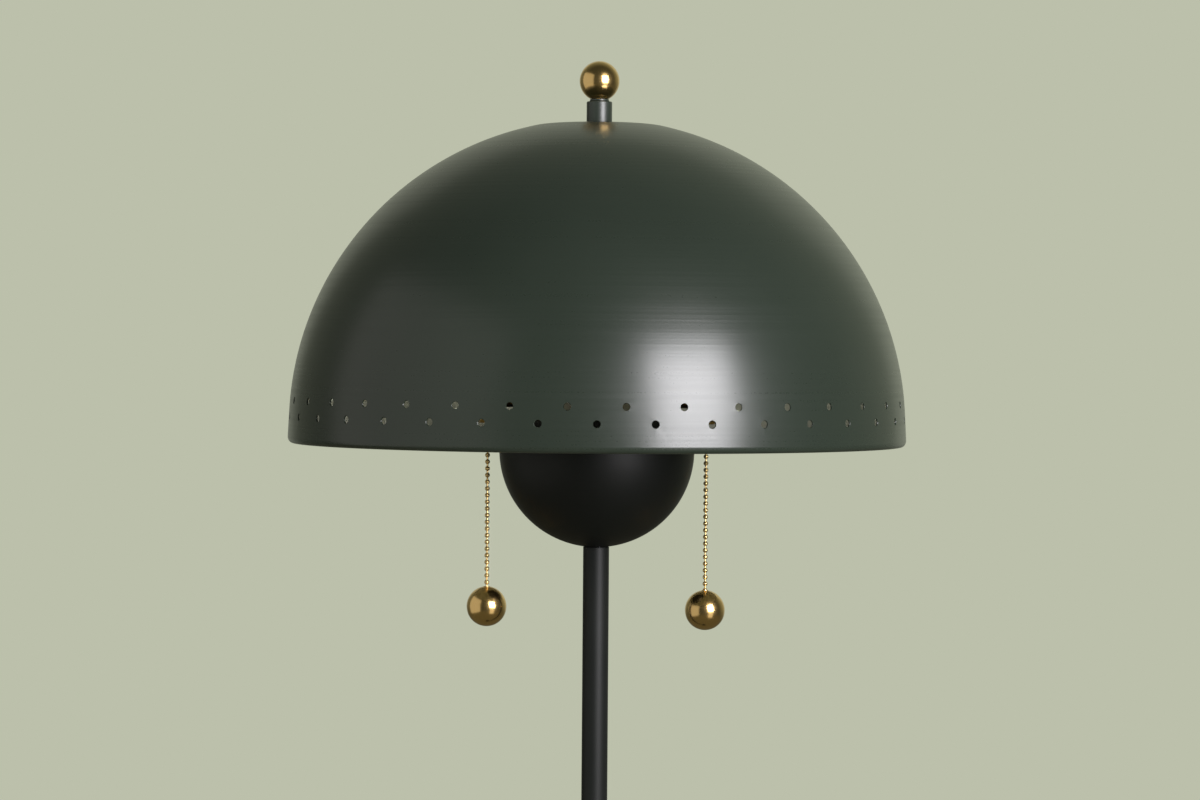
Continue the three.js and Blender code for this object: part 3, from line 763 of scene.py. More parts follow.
@dataclass(frozen=True)
class StudioSet:
    """The camera, the lights, the pale floor and the air round them."""

    distance: float = 2.0  # metres from the lamp's axis to the camera
    aside: float = 0.0018
    above_edge: float = 0.059  # height of the camera over the shade's edge
    lens: float = 92.35
    tilt: float = 0.872  # degrees down
    roll: float = 0.43  # degrees; the camera leans, so the lamp seems to
    backdrop: str = "bcc0ab"
    floor_radius: float = 3.4
    floor_fade: float = 0.8  # radius at which the floor starts to fade into the backdrop
    floor_glow: float = 0.65  # share of the backdrop's own colour in the floor, to the eye
    floor_drop: float = 0.5  # millimetres, so that the foam ring doesn't share its plane
    aim_above: float = 0.04  # height of the lights' target over the shade's edge
    boxes: tuple[SoftBox, ...] = (
        SoftBox("key_softbox", 33.8, 11.2, 2.2, (1.1, 1.3), 18.8, "fdfbff"),
        SoftBox("key_strip", 34, 2, 2.5, (1.3, 4.6), 0.7, "fffaf4"),
        SoftBox("left_reflector", -72, 4, 2.4, (3.6, 3.4), 0.46, "fffcf4"),
        SoftBox("back_fill", 176, 16, 2.8, (4.2, 3.4), 0.24, "eef2e0"),
    )

    def build(self) -> None:
        """Sets the whole studio up."""
        self._camera()
        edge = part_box("shade_dome")[0].z
        for box in self.boxes:
            box.place(Vector((0, 0, edge + self.aim_above)))
        self._floor()
        self._air()
        bpy.context.scene.view_settings.view_transform = "Standard"

    def _camera(self) -> None:
        """Puts the camera at the lamp's height, in front of it."""
        data = bpy.data.cameras.new("camera")
        data.lens = self.lens
        data.sensor_width = FILM_WIDTH
        camera = bpy.data.objects.new("camera", data)
        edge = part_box("shade_dome")[0].z
        camera.matrix_world = (
            Matrix.Translation((self.aside, -self.distance, edge + self.above_edge))
            @ Matrix.Rotation(math.radians(90 - self.tilt), 4, "X")
            @ Matrix.Rotation(math.radians(self.roll), 4, "Z")
        )
        bpy.context.scene.collection.objects.link(camera)
        bpy.context.scene.camera = camera

    def _floor(self) -> None:
        """Lays a pale round floor that fades out into the backdrop."""
        bm = bmesh.new()
        bmesh.ops.create_circle(bm, cap_ends=True, segments=96, radius=self.floor_radius)
        mesh = bpy.data.meshes.new("floor")
        bm.to_mesh(mesh)
        bm.free()
        floor = bpy.data.objects.new("floor", mesh)
        bpy.context.scene.collection.objects.link(floor)
        floor.location.z = -self.floor_drop * MM
        floor.visible_glossy = False
        material = bpy.data.materials.new("studio_floor")
        material.use_nodes = True
        tree = material.node_tree
        tree.nodes.clear()
        places = add_node(tree, "ShaderNodeTexCoord").outputs["Object"]
        away = add_node(
            tree, "ShaderNodeVectorMath", {0: places}, operation="LENGTH"
        ).outputs["Value"]
        fade = add_node(
            tree,
            "ShaderNodeMapRange",
            {"Value": away, "From Min": self.floor_fade, "From Max": self.floor_radius},
            interpolation_type="SMOOTHSTEP",
        ).outputs[0]
        matt = add_node(tree, "ShaderNodeBsdfDiffuse", {"Color": srgb(self.backdrop)}).outputs[0]
        glow = add_node(tree, "ShaderNodeEmission", {"Color": srgb(self.backdrop)}).outputs[0]
        eye = add_node(tree, "ShaderNodeLightPath").outputs["Is Camera Ray"]
        glowing = {0: eye, 1: self.floor_glow}
        share = add_node(tree, "ShaderNodeMath", glowing, operation="MULTIPLY").outputs[0]
        pale = add_node(tree, "ShaderNodeMixShader", {0: share, 1: matt, 2: glow}).outputs[0]
        clear = add_node(tree, "ShaderNodeBsdfTransparent").outputs[0]
        under = add_node(tree, "ShaderNodeNewGeometry").outputs["Backfacing"]
        gone = add_node(tree, "ShaderNodeMath", {0: fade, 1: under}, operation="MAXIMUM").outputs[0]
        surface = add_node(tree, "ShaderNodeMixShader", {0: gone, 1: pale, 2: clear}).outputs[0]
        add_node(tree, "ShaderNodeOutputMaterial", {"Surface": surface})
        mesh.materials.append(material)

    def _air(self) -> None:
        """Fills the room.

        The eye sees the backdrop; gloss sees a dim room with a warm floor and one pale wall.
        """
        world = bpy.data.worlds.new("studio")
        bpy.context.scene.world = world
        world.use_nodes = True
        tree = world.node_tree
        tree.nodes.clear()
        path = add_node(tree, "ShaderNodeLightPath")
        eye = add_node(
            tree,
            "ShaderNodeMath",
            {0: path.outputs["Is Camera Ray"], 1: path.outputs["Is Transmission Ray"]},
            operation="MAXIMUM",
        ).outputs[0]
        direction = add_node(tree, "ShaderNodeTexCoord").outputs["Generated"]
        parts = add_node(tree, "ShaderNodeSeparateXYZ", {0: direction})
        wall = add_node(
            tree,
            "ShaderNodeMapRange",
            {"Value": parts.outputs[1], "From Min": -0.1, "From Max": 0.8},
            interpolation_type="SMOOTHSTEP",
        ).outputs[0]
        rise = add_node(
            tree,
            "ShaderNodeMapRange",
            {"Value": parts.outputs[2], "From Min": -0.55, "From Max": 0.15},
            interpolation_type="SMOOTHSTEP",
        ).outputs[0]
        right = add_node(
            tree,
            "ShaderNodeMapRange",
            {"Value": parts.outputs[0], "From Min": -0.9, "From Max": 0.5, "To Min": 0.42},
            interpolation_type="SMOOTHSTEP",
        ).outputs[0]
        share = add_node(
            tree, "ShaderNodeMath", {0: wall, 1: rise}, operation="MULTIPLY"
        ).outputs[0]
        share = add_node(
            tree, "ShaderNodeMath", {0: share, 1: right}, operation="MULTIPLY"
        ).outputs[0]
        down = add_node(
            tree,
            "ShaderNodeMapRange",
            {"Value": parts.outputs[2], "From Min": -0.15, "From Max": -0.6},
            interpolation_type="SMOOTHSTEP",
        ).outputs[0]
        dim = add_node(
            tree, "ShaderNodeMix", {0: down, 6: srgb("3c3f3a"), 7: srgb("5a5746")}, data_type="RGBA"
        ).outputs[2]
        room = add_node(
            tree, "ShaderNodeMix", {0: share, 6: dim, 7: srgb("989c87")}, data_type="RGBA"
        ).outputs[2]
        lit = add_node(
            tree,
            "ShaderNodeMix",
            {0: path.outputs["Is Glossy Ray"], 6: srgb("7f837a"), 7: room},
            data_type="RGBA",
        ).outputs[2]
        seen = add_node(
            tree, "ShaderNodeMix", {0: eye, 6: lit, 7: srgb(self.backdrop)}, data_type="RGBA"
        ).outputs[2]
        air = add_node(tree, "ShaderNodeBackground", {"Color": seen, "Strength": 1.0}).outputs[0]
        add_node(tree, "ShaderNodeOutputWorld", {"Surface": air})


# ---- pull chains -------------------------------------------------------------------------


@dataclass(frozen=True)
class BeadChain:
    """Ball chain of hollow beads, each joined to the next by a short neck."""

    bead: float = 1.6
    pitch: float = 4.35
    neck: float = 0.6
    slack: float = 0.05  # an end this close to a bead needs no neck
    arc_steps: int = 8
    sides: int = 16

    def outline(self, first: float, count: int, start: float, end: float) -> list[Corner]:
        """The outline of a straight length that runs down the Z axis.

        Args:
            first: Height of the first bead's middle.
            count: Number of beads.
            start: Height of the upper end.
            end: Height of the lower end.

        Returns:
            Its points, from the axis to the axis.
        """
        lean = math.degrees(math.acos(self.neck / self.bead))
        points: list[Corner] = [(0, start)]
        if start > first + self.bead:
            points += [(self.neck, start)]
        for i in range(count):
            middle = first - i * self.pitch
            top = lean if points[-1][0] else 90
            points += arc((0, middle), self.bead, top, -lean, self.arc_steps)
        if end < points[-1][1] - self.slack:
            points += [(self.neck, end)]
        return points + [(0, points[-1][1])]

    def length(self, first: float, count: int, start: float, end: float) -> bmesh.types.BMesh:
        """Makes a straight length that runs down the Z axis, as outline says."""
        points = [p for i, p in enumerate(self.outline(first, count, start, end)) if i == 0 or p[0] or i > 2]
        return turned(points, self.sides, closed=False)


@dataclass(frozen=True)
class PullSwitch:
    """One side's chain, from the switch through the guide to the ball."""

    side: str
    chain: BeadChain = field(default_factory=BeadChain)
    air: float = 0.1  # left between the swaying bead and the necks that meet it
    socket: float = 1.95  # radius of the hole in the ball
    socket_depth: float = 4.0

    def build(self) -> list[bpy.types.Object]:
        """Makes the chain and the ball.

        Returns:
            The pieces.
        """
        bead = Room.of(f"{self.side}_chain_link")
        pivot, x = bead.middle.z, bead.middle.x
        ball = self._ball(x)
        hanging = self._hanging(pivot, x)
        return [hanging, ball, self._bead(pivot, x), self._lead(pivot, x), self._run()]

    def _dress(
        self, name: str, body: str, bm: bmesh.types.BMesh, x: float, move: Matrix
    ) -> bpy.types.Object:
        """Finishes a length of chain."""
        node = f"{self.side}_{name}"
        label = Label(f"{node}_beads", f"{self.side}_{body}", "chain_brass", (node,))
        return finished(bm, label, [CHAIN_BRASS.about(self.side, x)], move)

    def _hanging(self, pivot: float, x: float) -> bpy.types.Object:
        """Makes the length that hangs below the guide and ends in the ball."""
        room = Room.of(f"{self.side}_pull_chain")
        start, end = pivot - self.chain.bead - self.air, room.bottom
        first = pivot - self.chain.pitch
        count = int((first - self.chain.bead - end) / self.chain.pitch) + 1
        bm = self.chain.length(first, count, start, end)
        piece = self._dress("pull_chain", "pull", bm, x, Matrix.Translation((x, 0, 0)))
        return piece

    def _bead(self, pivot: float, x: float) -> bpy.types.Object:
        """Makes the bead at the guide's mouth, which the chain sways on."""
        points = arc((0, pivot), self.chain.bead, 90, -90, 12)
        points = [(0, points[0][1]), *points[1:-1], (0, points[-1][1])]
        bm = turned(points, self.chain.sides, closed=False)
        return self._dress("chain_link", "sway", bm, x, Matrix.Translation((x, 0, 0)))

    def _lead(self, pivot: float, x: float) -> bpy.types.Object:
        """Makes the short length inside the guide's drop."""
        room = Room.of(f"{self.side}_chain_lead")
        bm = self.chain.length(
            pivot + 2 * self.chain.pitch, 2, room.top + 0.8, pivot + self.chain.bead + self.air
        )
        return self._dress("chain_lead", "draw", bm, x, Matrix.Translation((x, 0, 0)))

    def _run(self) -> bpy.types.Object:
        """Makes the length that lies along the guide, up to the switch."""
        room = Room.of(f"{self.side}_chain_run")
        reach = room.high.x - room.low.x
        count = int(reach / self.chain.pitch)
        bm = self.chain.length(reach / 2 - self.chain.pitch / 2, count, reach / 2, -reach / 2)
        turn = math.pi / 2 if self.side == "right" else -math.pi / 2
        move = Matrix.Translation(room.middle) @ Matrix.Rotation(turn, 4, "Y")
        return self._dress("chain_run", "run", bm, room.middle.x, move)

    def _ball(self, x: float) -> bpy.types.Object:
        """Makes the turned ball with the hole that the chain is fixed in."""
        node = f"{self.side}_pull_ball"
        room = Room.of(node)
        radius, z = room.radius, room.middle.z
        lip = self.socket + 0.45
        rise = math.degrees(math.acos(lip / radius))
        floor = z + radius - self.socket_depth
        hole = rounded(
            [
                (0, floor),
                (self.socket, floor),
                (self.socket, z + radius - 0.1, 0.4),
                (lip + 0.6, z + radius - 0.2),
            ],
            closed=False,
        )
        points = [*hole[:-1], *arc((0, z), radius, rise, -90, 40)[:-1], (0, z - radius)]
        bm = turned(points, 64, closed=False)
        label = Label(f"{node}_turned", f"{self.side}_pull", "polished_brass", (node,))
        brass = POLISHED_BRASS.about(f"{self.side}_ball", x)
        return finished(bm, label, [brass], Matrix.Translation((x, 0, 0)))


# ---- shade -------------------------------------------------------------------------------


@dataclass(frozen=True)
class DomeShade:
    """The spun dome with its rolled edge and two staggered rows of holes."""

    sheet: float = 1.2
    ball_radius: float = 199.4
    ball_rise: float = 11.0  # height of the ball's centre above the edge
    skirt_angle: float = 4.0  # where the ball passes into the straight skirt
    flat_angle: float = 76.0  # where the ball starts to blend into the flat top
    blend: float = 67.0  # radius of that blend
    turn_in: float = 5.0  # radius at which the edge starts to turn inwards
    turn_angle: float = -35.0  # where that radius passes into the curl's, in degrees
    curl: float = 3.0  # radius of the curl that ends it
    curl_end: float = -160.0
    bore: float = 5.5
    rows: tuple[float, float] = (17.4, 27.6)  # heights of the rows of holes above the edge
    holes: int = 36
    hole: float = 2.2
    facing: float = -0.6  # a face is on the inside where it looks this much at the centre
    sides: int = 144

    def build(self) -> list[bpy.types.Object]:
        """Makes the dome and the collar that stands on it."""
        return [self._dome(), self._collar()]

    def _dome(self) -> bpy.types.Object:
        """Makes the dome."""
        room = Room.of("shade_dome")
        blank = turned(self._outline(room), self.sides)
        bm = drilled(blank, self._drills(room))
        centre = Vector((0, 0, room.bottom + self.ball_rise))
        inside_from = room.bottom + 2 * self.curl

        def side(face: bmesh.types.BMFace) -> int:
            """0 for the outside, the edge and the holes, 1 for the inside, whose white is greyed as painted
            shade.
            """
            middle = face.calc_center_median()
            inwards = face.normal.dot((middle - centre).normalized()) < self.facing
            return int(inwards and middle.z > inside_from)

        label = Label("shade_dome_spun", "shade", "green_black_powder_coat", ("shade_dome",))
        return finished(bm, label, [GREEN_POWDER_COAT, WHITE_PAINT_GREYED_AS_SHADE], sharp=30, choose=side)

    def _face(self, room: Room, depth: float) -> list[Corner]:
        """One face of the sheet, from the bore down to the foot of the ball."""
        top, centre = room.top - depth, (0.0, room.bottom + self.ball_rise)
        ball = arc(centre, self.ball_radius - depth, self.flat_angle, self.skirt_angle, 48)
        meets, slope = ball[0], math.tan(math.radians(90 - self.flat_angle))
        corner = (meets[0] - (top - meets[1]) / slope, top, self.blend)
        return rounded([(self.bore, top), corner, ball[0]], closed=False, steps=8) + ball[1:]

    def _outline(self, room: Room) -> list[Corner]:
        """The dome's closed outline."""
        edge, z = room.radius, room.bottom
        outer, inner = self._face(room, 0), self._face(room, self.sheet)
        aim = math.radians(self.turn_angle)
        shift = self.turn_in - self.curl
        high = z + self.curl - shift * math.sin(aim)
        first = (edge - self.turn_in, high)
        second = (first[0] + shift * math.cos(aim), z + self.curl)
        under = arc(first, self.turn_in, 0, self.turn_angle, 8) + arc(
            second, self.curl, self.turn_angle, self.curl_end, 10
        )[1:]
        lip = arc(second, self.curl - self.sheet / 2, self.curl_end, self.curl_end - 16, 1)[-1]
        over = arc(second, self.curl - self.sheet, self.curl_end, self.turn_angle, 10) + arc(
            first, self.turn_in - self.sheet, self.turn_angle, 0, 8
        )[1:]
        return outer + under + [lip] + over + inner[::-1]

    def _drills(self, room: Room) -> bmesh.types.BMesh:
        """The tools that cut every hole, each wider where it leaves the sheet."""
        r, half = self.hole, self.sheet / 2
        flare = [
            (r + 1.25, half + 0.7),
            (r + 0.22, half - 0.03),
            (r + 0.05, half - 0.22),
            (r, half - 0.42),
        ]
        points = [(0, half + 0.7), *flare, *[(x, -y) for x, y in flare[::-1]], (0, -half - 0.7)]
        drill = turned(points, 20, closed=False)
        centre = room.bottom + self.ball_rise
        tools = bmesh.new()
        for row, height in enumerate(self.rows):
            z = room.bottom + height
            lean = math.asin((z - centre) / self.ball_radius)
            foot = self.ball_rise + self.ball_radius * math.sin(math.radians(self.skirt_angle))
            waist = self.ball_radius * math.cos(math.radians(self.skirt_angle))
            if height < foot:
                lean = math.atan2(room.radius - waist, foot)
                out = room.radius - (room.radius - waist) * height / foot
            else:
                out = self.ball_radius * math.cos(lean)
            out -= half * math.cos(lean)
            seat = Matrix.Translation((out, 0, z - half * math.sin(lean)))
            aim = seat @ Matrix.Rotation(math.pi / 2 - lean, 4, "Y")
            for i in range(self.holes):
                turn = math.pi / 2 + (i + row / 2) * math.tau / self.holes
                join(tools, drill, Matrix.Rotation(turn, 4, "Z") @ aim)
        drill.free()
        return tools

    def _collar(self) -> bpy.types.Object:
        """Makes the collar between the dome and the finial."""
        r, low, high = Room.of("shade_collar").span
        points = rounded([(self.bore, low), (r, low, 0.3), (r, high, 0.7), (self.bore, high)])
        label = Label("shade_collar_turned", "shade", "green_black_powder_coat", ("shade_collar",))
        return finished(turned(points, 64), label, [SMALL_PART_COAT])


@dataclass(frozen=True)
class Finial:
    """The ball that screws on the rod and holds the shade, on its dark neck ring."""

    bore: float = 5.3

    def build(self) -> list[bpy.types.Object]:
        """Makes the neck ring and the ball."""
        return [self._neck(), self._ball()]

    def _neck(self) -> bpy.types.Object:
        """Makes the neck ring."""
        r, low, high = Room.of("finial_neck").span
        points = rounded([(self.bore, low), (r, low, 0.25), (r, high, 0.25), (self.bore, high)])
        label = Label("finial_neck_ring", "finial", "black_powder_coat", ("finial_neck",))
        return finished(turned(points, 64), label, [SMALL_PART_COAT])

    def _ball(self) -> bpy.types.Object:
        """Makes the ball, flat where it sits and bored for the rod."""
        room = Room.of("finial_ball")
        r, seat = room.radius, room.bottom
        z = room.top - r
        start = math.degrees(math.asin((seat - z) / r))
        ball = arc((0, z), r, start, 90, 44)
        bore_top = Room.of("shade_rod").top + 1
        edge = rounded([(self.bore, seat, 0.2), (*ball[0], 0.25), ball[2]], closed=False)
        points = [(0, bore_top), (self.bore, bore_top), *edge[:-1], *ball[2:-1], (0, room.top)]
        label = Label("finial_ball_turned", "finial", "polished_brass", ("finial_ball",))
        return finished(turned(points, 64, closed=False), label, [POLISHED_BRASS.about("finial", 0)])


# ---- bowl, stem and base -----------------------------------------------------------------


@dataclass(frozen=True)
class SpunBowl:
    """The bowl under the shade, which hides the crossbar."""

    sheet: float = 1.2
    centre_drop: float = 3.7  # how far its ball centre lies under the shade's edge
    bore: float = 5.3
    sides: int = 128

    def build(self) -> list[bpy.types.Object]:
        """Makes the bowl."""
        room = Room.of("bowl")
        r, high = room.radius, room.top
        z = Room.of("shade_dome").bottom - self.centre_drop
        foot = -math.degrees(math.acos(Room.of("stem_upper").radius / r))  # the stem meets a flat
        outer = arc((0, z), r, foot, 0, 44)
        inner = arc((0, z), r - self.sheet, 0, foot, 44)
        lip = rounded(
            [outer[-1], (r, high, 0.55), (r - self.sheet, high, 0.55), inner[0]], closed=False
        )
        start, end = (self.bore, room.bottom), (self.bore, room.bottom + self.sheet)
        points = [start, *outer[:-1], *lip, *inner[1:], end]
        # The bowl's black coat is painted darker than the tube's: painted shade under the shade.
        label = Label("bowl_spun", "lamp", "black_powder_coat", ("bowl",))
        return [finished(turned(points, self.sides), label, [BLACK_COAT_WITH_PAINTED_SHADE])]


@dataclass(frozen=True)
class Stem:
    """Three tubes, one above the other, each with a threaded bush in its ends."""

    wall: float = 1.2
    bush: float = 22.0
    bore: float = 5.3
    names: tuple[str, ...] = ("stem_lower", "stem_middle", "stem_upper")

    def build(self) -> list[bpy.types.Object]:
        """Makes the tubes."""
        return [self._tube(name) for name in self.names]

    def _tube(self, name: str) -> bpy.types.Object:
        """Makes one tube."""
        r, low, high = Room.of(name).span
        inner = r - self.wall
        points = rounded(
            [
                (self.bore, low),
                (r, low, 0.35),
                (r, high, 0.35),
                (self.bore, high),
                (self.bore, high - self.bush),
                (inner, high - self.bush),
                (inner, low + self.bush),
                (self.bore, low + self.bush),
            ]
        )
        # The tube's black coat is painted lighter than the bowl's: painted light on the stem.
        label = Label(f"{name}_tube", "lamp", "black_powder_coat", (name,))
        return finished(turned(points, 64), label, [BLACK_TUBE_COAT_WITH_PAINTED_LIGHT])


@dataclass(frozen=True)
class Base:
    """The round base: spun cover, collar, foam ring and gland; the cast weight stays as it is."""

    sheet: float = 1.2
    shoulder: float = 14.0
    bore: float = 5.3
    gland_hole: float = 4.3
    lead_hole: float = 2.3
    sides: int = 144

    def build(self) -> list[bpy.types.Object]:
        """Makes the base."""
        return [self._cover(), self._collar(), self._pad(), self._gland()]

    def _cover(self) -> bpy.types.Object:
        """Makes the spun cover with the gland's hole in its back."""
        r, low, high = Room.of("base_cover").span
        s = self.sheet
        crown = 1.0  # the top rises this much from the shoulder to the middle
        centre = (r - self.shoulder, high - crown - self.shoulder)
        outer = arc(centre, self.shoulder, 0, 88, 14)
        inner = arc(centre, self.shoulder - s, 88, 0, 14)
        edge = rounded([inner[-1], (r - s, low, 0.55), (r, low, 0.55), outer[0]], closed=False)
        points = [
            *edge,
            *outer[1:],
            (r * 0.55, high - crown * 0.35),
            (r * 0.2, high - crown * 0.05),
            (self.bore, high),
            (self.bore, high - s),
            (r * 0.2, high - s - crown * 0.05),
            (r * 0.55, high - s - crown * 0.35),
            *inner[:-1],
        ]
        drill = turned([(0, -6), (self.gland_hole, -6), (self.gland_hole, 6), (0, 6)], 32, closed=False)
        aim = Matrix.Translation((0, r, 0)) @ along_y(Room.of("cord_gland").middle.z)
        bmesh.ops.transform(drill, matrix=aim, verts=drill.verts)
        bm = drilled(turned(points, self.sides), drill)
        label = Label("base_cover_spun", "lamp", "black_powder_coat", ("base_cover",))
        return finished(bm, label, [BLACK_COAT_WITH_PAINTED_SHADE])

    def _collar(self) -> bpy.types.Object:
        """Makes the collar round the foot of the stem."""
        r, low, high = Room.of("base_collar").span
        inner = Room.of("stem_lower").radius + 0.3
        points = rounded(
            [(inner, low), (r, low, 0.4), (r, high - 3, 0.8), (r - 2.2, high, 0.8), (inner, high, 0.3)]
        )
        label = Label("base_collar_turned", "lamp", "black_powder_coat", ("base_collar",))
        return finished(turned(points, 72), label, [BLACK_COAT_WITH_PAINTED_SHADE])

    def _pad(self) -> bpy.types.Object:
        """Makes the foam ring that the lamp stands on."""
        r, low, high = Room.of("base_pad").span
        inner = 20.0
        points = rounded([(inner, low, 0.6), (r, low, 0.6), (r, high, 0.3), (inner, high, 0.3)])
        label = Label("base_pad_ring", "lamp", "foam_pad", ("base_pad",))
        pad = finished(turned(points, 96), label, [CELL_FOAM])
        return pad

    def _gland(self) -> bpy.types.Object:
        """Makes the bushing for the supply lead."""
        room = Room.of("cord_gland")
        r, start, end = room.middle.z - room.bottom, room.low.y, room.high.y
        skin = Room.of("base_cover").radius + 0.3
        body = self.gland_hole - 0.3
        points = rounded(
            [
                (self.lead_hole, start),
                (body, start, 0.4),
                (body, skin),
                (r, skin, 0.3),
                (r - 0.5, end, 0.9),
                (self.lead_hole, end, 0.6),
            ]
        )
        label = Label("cord_gland_moulded", "lamp", "black_nylon", ("cord_gland",))
        return finished(turned(points, 40), label, [BLACK_NYLON], along_y(room.middle.z))


# ---- lampholders -------------------------------------------------------------------------


@dataclass(frozen=True)
class Lampholder:
    """One lampholder with its chain guide and bulb, made for the right and turned for the left."""

    side: str
    offset: float = 32.0  # from the lamp's axis to the holder's
    wall: float = 1.5
    bore: float = 5.3
    thread_pitch: float = 3.5  # of the shell's outside and of the bulb's cap

    def build(self) -> list[bpy.types.Object]:
        """Makes the holder's outside, its guide and its bulb."""
        outside = [self._cap(), self._shell(), self._guide()]
        return [*outside, self._glass(), self._bulb_cap(), self._screw_shell()]

    @property
    def sign(self) -> int:
        """1 on the right, -1 on the left."""
        return 1 if self.side == "right" else -1

    def _place(self) -> Matrix:
        """Where a piece made about the holder's axis goes."""
        turn = 0.0 if self.side == "right" else math.pi
        return Matrix.Translation((self.sign * self.offset, 0, 0)) @ Matrix.Rotation(turn, 4, "Z")

    def _dress(
        self, name: str, slot: str, bm: bmesh.types.BMesh, *finishes: Finish, **more
    ) -> bpy.types.Object:
        """Finishes one piece of the holder."""
        node = f"{self.side}_{name}"
        label = Label(f"{node}_made", "lamp", slot, (node,))
        turned_to = [finish.about(self.side, self.sign * self.offset) for finish in finishes]
        return finished(bm, label, turned_to, self._place(), **more)

    def _cap(self) -> bpy.types.Object:
        """Makes the domed lower cap."""
        r, low, high = Room.of(f"{self.side}_holder_cap").span
        foot, height = 8.0, high - low

        def curve(depth: float, angles: range) -> list[Corner]:
            """One face of the cap, at a depth under its outside."""
            wide, tall = r - depth - foot, height - depth
            turns = [math.radians(a) for a in angles]
            return [(foot + wide * math.sin(a), high - tall * math.cos(a)) for a in turns]

        shape, inside = curve(0, range(0, 91, 6)), curve(self.wall, range(90, -1, -6))
        points = [(self.bore, low), *shape, *inside, (self.bore, low + self.wall)]
        return self._dress("holder_cap", "white_phenolic", turned(points, 56), WHITE_THERMOSET)

    def _shell(self) -> bpy.types.Object:
        """Makes the outer shell: a bead at its foot, then plain, then a thread near its mouth."""
        room = Room.of(f"{self.side}_holder_shell")
        low, high = room.bottom, room.top
        r = Room.of(f"{self.side}_holder_cap").radius
        guide = Room.of(f"{self.side}_chain_guide")
        ridges: list[Corner] = []
        z = low + 46
        while z < high - 4:
            ridges += [(r - 0.7, z), (r, z + 0.9, 0.3), (r, z + 1.7, 0.3), (r - 0.7, z + 2.6)]
            z += self.thread_pitch
        points = rounded(
            [
                (r - self.wall, low),
                (r, low, 0.4),
                (r, low + 4, 0.3),
                (r - 0.35, low + 4.6),
                (r - 0.35, low + 5.4),
                (r, low + 6, 0.3),
                (r, low + 44, 0.3),
                *ridges,
                (r - 0.7, high, 0.4),
                (r - self.wall, high, 0.2),
            ],
            steps=3,
        )
        tool = turned([(0, -4), (4.7, -4), (4.7, 4), (0, 4)], 32, closed=False)
        height = guide.top - 4.4
        bmesh.ops.transform(tool, matrix=along_x(r, height), verts=tool.verts)
        bm = drilled(turned(points, 72), tool)
        return self._dress("holder_shell", "white_phenolic", bm, WHITE_THERMOSET)

    def _guide(self) -> bpy.types.Object:
        """Makes the bent brass tube that turns the chain downwards, with its bell mouth."""
        room = Room.of(f"{self.side}_chain_guide")
        outer, wall, bend = 4.4, 1.0, 6.0
        near = min(abs(room.low.x), abs(room.high.x))
        drop = Room.of(f"{self.side}_chain_link").middle.x * self.sign - self.offset
        start, height = near - self.offset, room.top - outer
        mouth = room.bottom
        bm = bmesh.new()
        bmesh.ops.create_circle(bm, segments=28, radius=outer, matrix=along_x(start, height))
        rim = self._drawn_out(bm, list(bm.edges), Vector((drop - bend - start, 0, 0)))
        bent = bmesh.ops.spin(
            bm,
            geom=rim + list({v for e in rim for v in e.verts}),
            cent=(drop - bend, 0, height - bend),
            axis=(0, 1, 0),
            angle=math.pi / 2,
            steps=10,
        )
        rim = [g for g in bent["geom_last"] if isinstance(g, bmesh.types.BMEdge)]
        for fall, widen in ((height - bend - mouth - 2.6, 1.0), (0.9, 1.08), (0.9, 1.13), (0.8, 1.13)):
            rim = self._drawn_out(bm, rim, Vector((0, 0, -fall)))
            verts = list({v for e in rim for v in e.verts})
            spot = Matrix.Translation((-drop, 0, 0))
            bmesh.ops.scale(bm, vec=(widen, widen, 1), space=spot, verts=verts)
        bmesh.ops.recalc_face_normals(bm, faces=bm.faces)
        middle = max(bm.faces, key=lambda f: f.calc_center_median().z)
        if middle.normal.z < 0:
            bmesh.ops.reverse_faces(bm, faces=bm.faces)
        bmesh.ops.solidify(bm, geom=bm.faces, thickness=wall)
        bmesh.ops.recalc_face_normals(bm, faces=bm.faces)
        return self._dress("chain_guide", "raw_brass", bm, TURNED_BRASS, sharp=40)

    @staticmethod
    def _drawn_out(
        bm: bmesh.types.BMesh, rim: Iterable[bmesh.types.BMEdge], way: Vector
    ) -> list[bmesh.types.BMEdge]:
        """Draws the open end of a tube further along a straight way.

        Args:
            bm: The tube.
            rim: Edges of its open end.
            way: How far it goes.

        Returns:
            Edges of the new open end.
        """
        grown = bmesh.ops.extrude_edge_only(bm, edges=list(rim))["geom"]
        verts = [g for g in grown if isinstance(g, bmesh.types.BMVert)]
        bmesh.ops.translate(bm, vec=way, verts=verts)
        edges = [g for g in grown if isinstance(g, bmesh.types.BMEdge)]
        return [edge for edge in edges if all(v in verts for v in edge.verts)]

    def _glass(self) -> bpy.types.Object:
        """Makes the bulb's glass: a small globe that runs down into a neck."""
        r, low, high = Room.of(f"{self.side}_bulb_glass").span
        neck = Room.of(f"{self.side}_bulb_cap").radius - 0.6
        lean = math.degrees(math.acos(neck / r))
        centre = high - r
        globe = arc((0, centre), r, -lean, 90, 36)
        points = rounded([(0, low), (neck, low, 0.5), (*globe[0], 4.0), globe[5]], closed=False)
        bm = turned([*points[:-1], *globe[5:-1], (0, high)], 64, closed=False)
        return self._dress("bulb_glass", "opal_glass", bm, OPAL_GLASS, sharp=50)

    def _bulb_cap(self) -> bpy.types.Object:
        """Makes the bulb's cap with its rolled thread, dark insulator and contact tip."""
        r, low, high = Room.of(f"{self.side}_bulb_cap").span
        start = low + 6
        thread: list[Corner] = []
        for i in range(int((high - 4 - start) / self.thread_pitch)):
            z = start + i * self.thread_pitch
            thread += arc((r - 0.9, z + self.thread_pitch / 2), 0.9, -80, 80, 6)
        foot = [
            (0, low),
            (4, low, 0.8),
            (4.6, low + 1.5),
            (9.6, low + 4, 0.5),
            (r - 1.2, low + 5.6, 0.5),
            thread[0],
        ]
        points = [
            *rounded(foot, closed=False)[:-1],
            *thread,
            (r - 0.5, high - 3),
            (r - 0.2, high - 0.3),
            (r - 0.4, high),
            (0, high),
        ]
        glassy = low + 1.7, low + 3.8

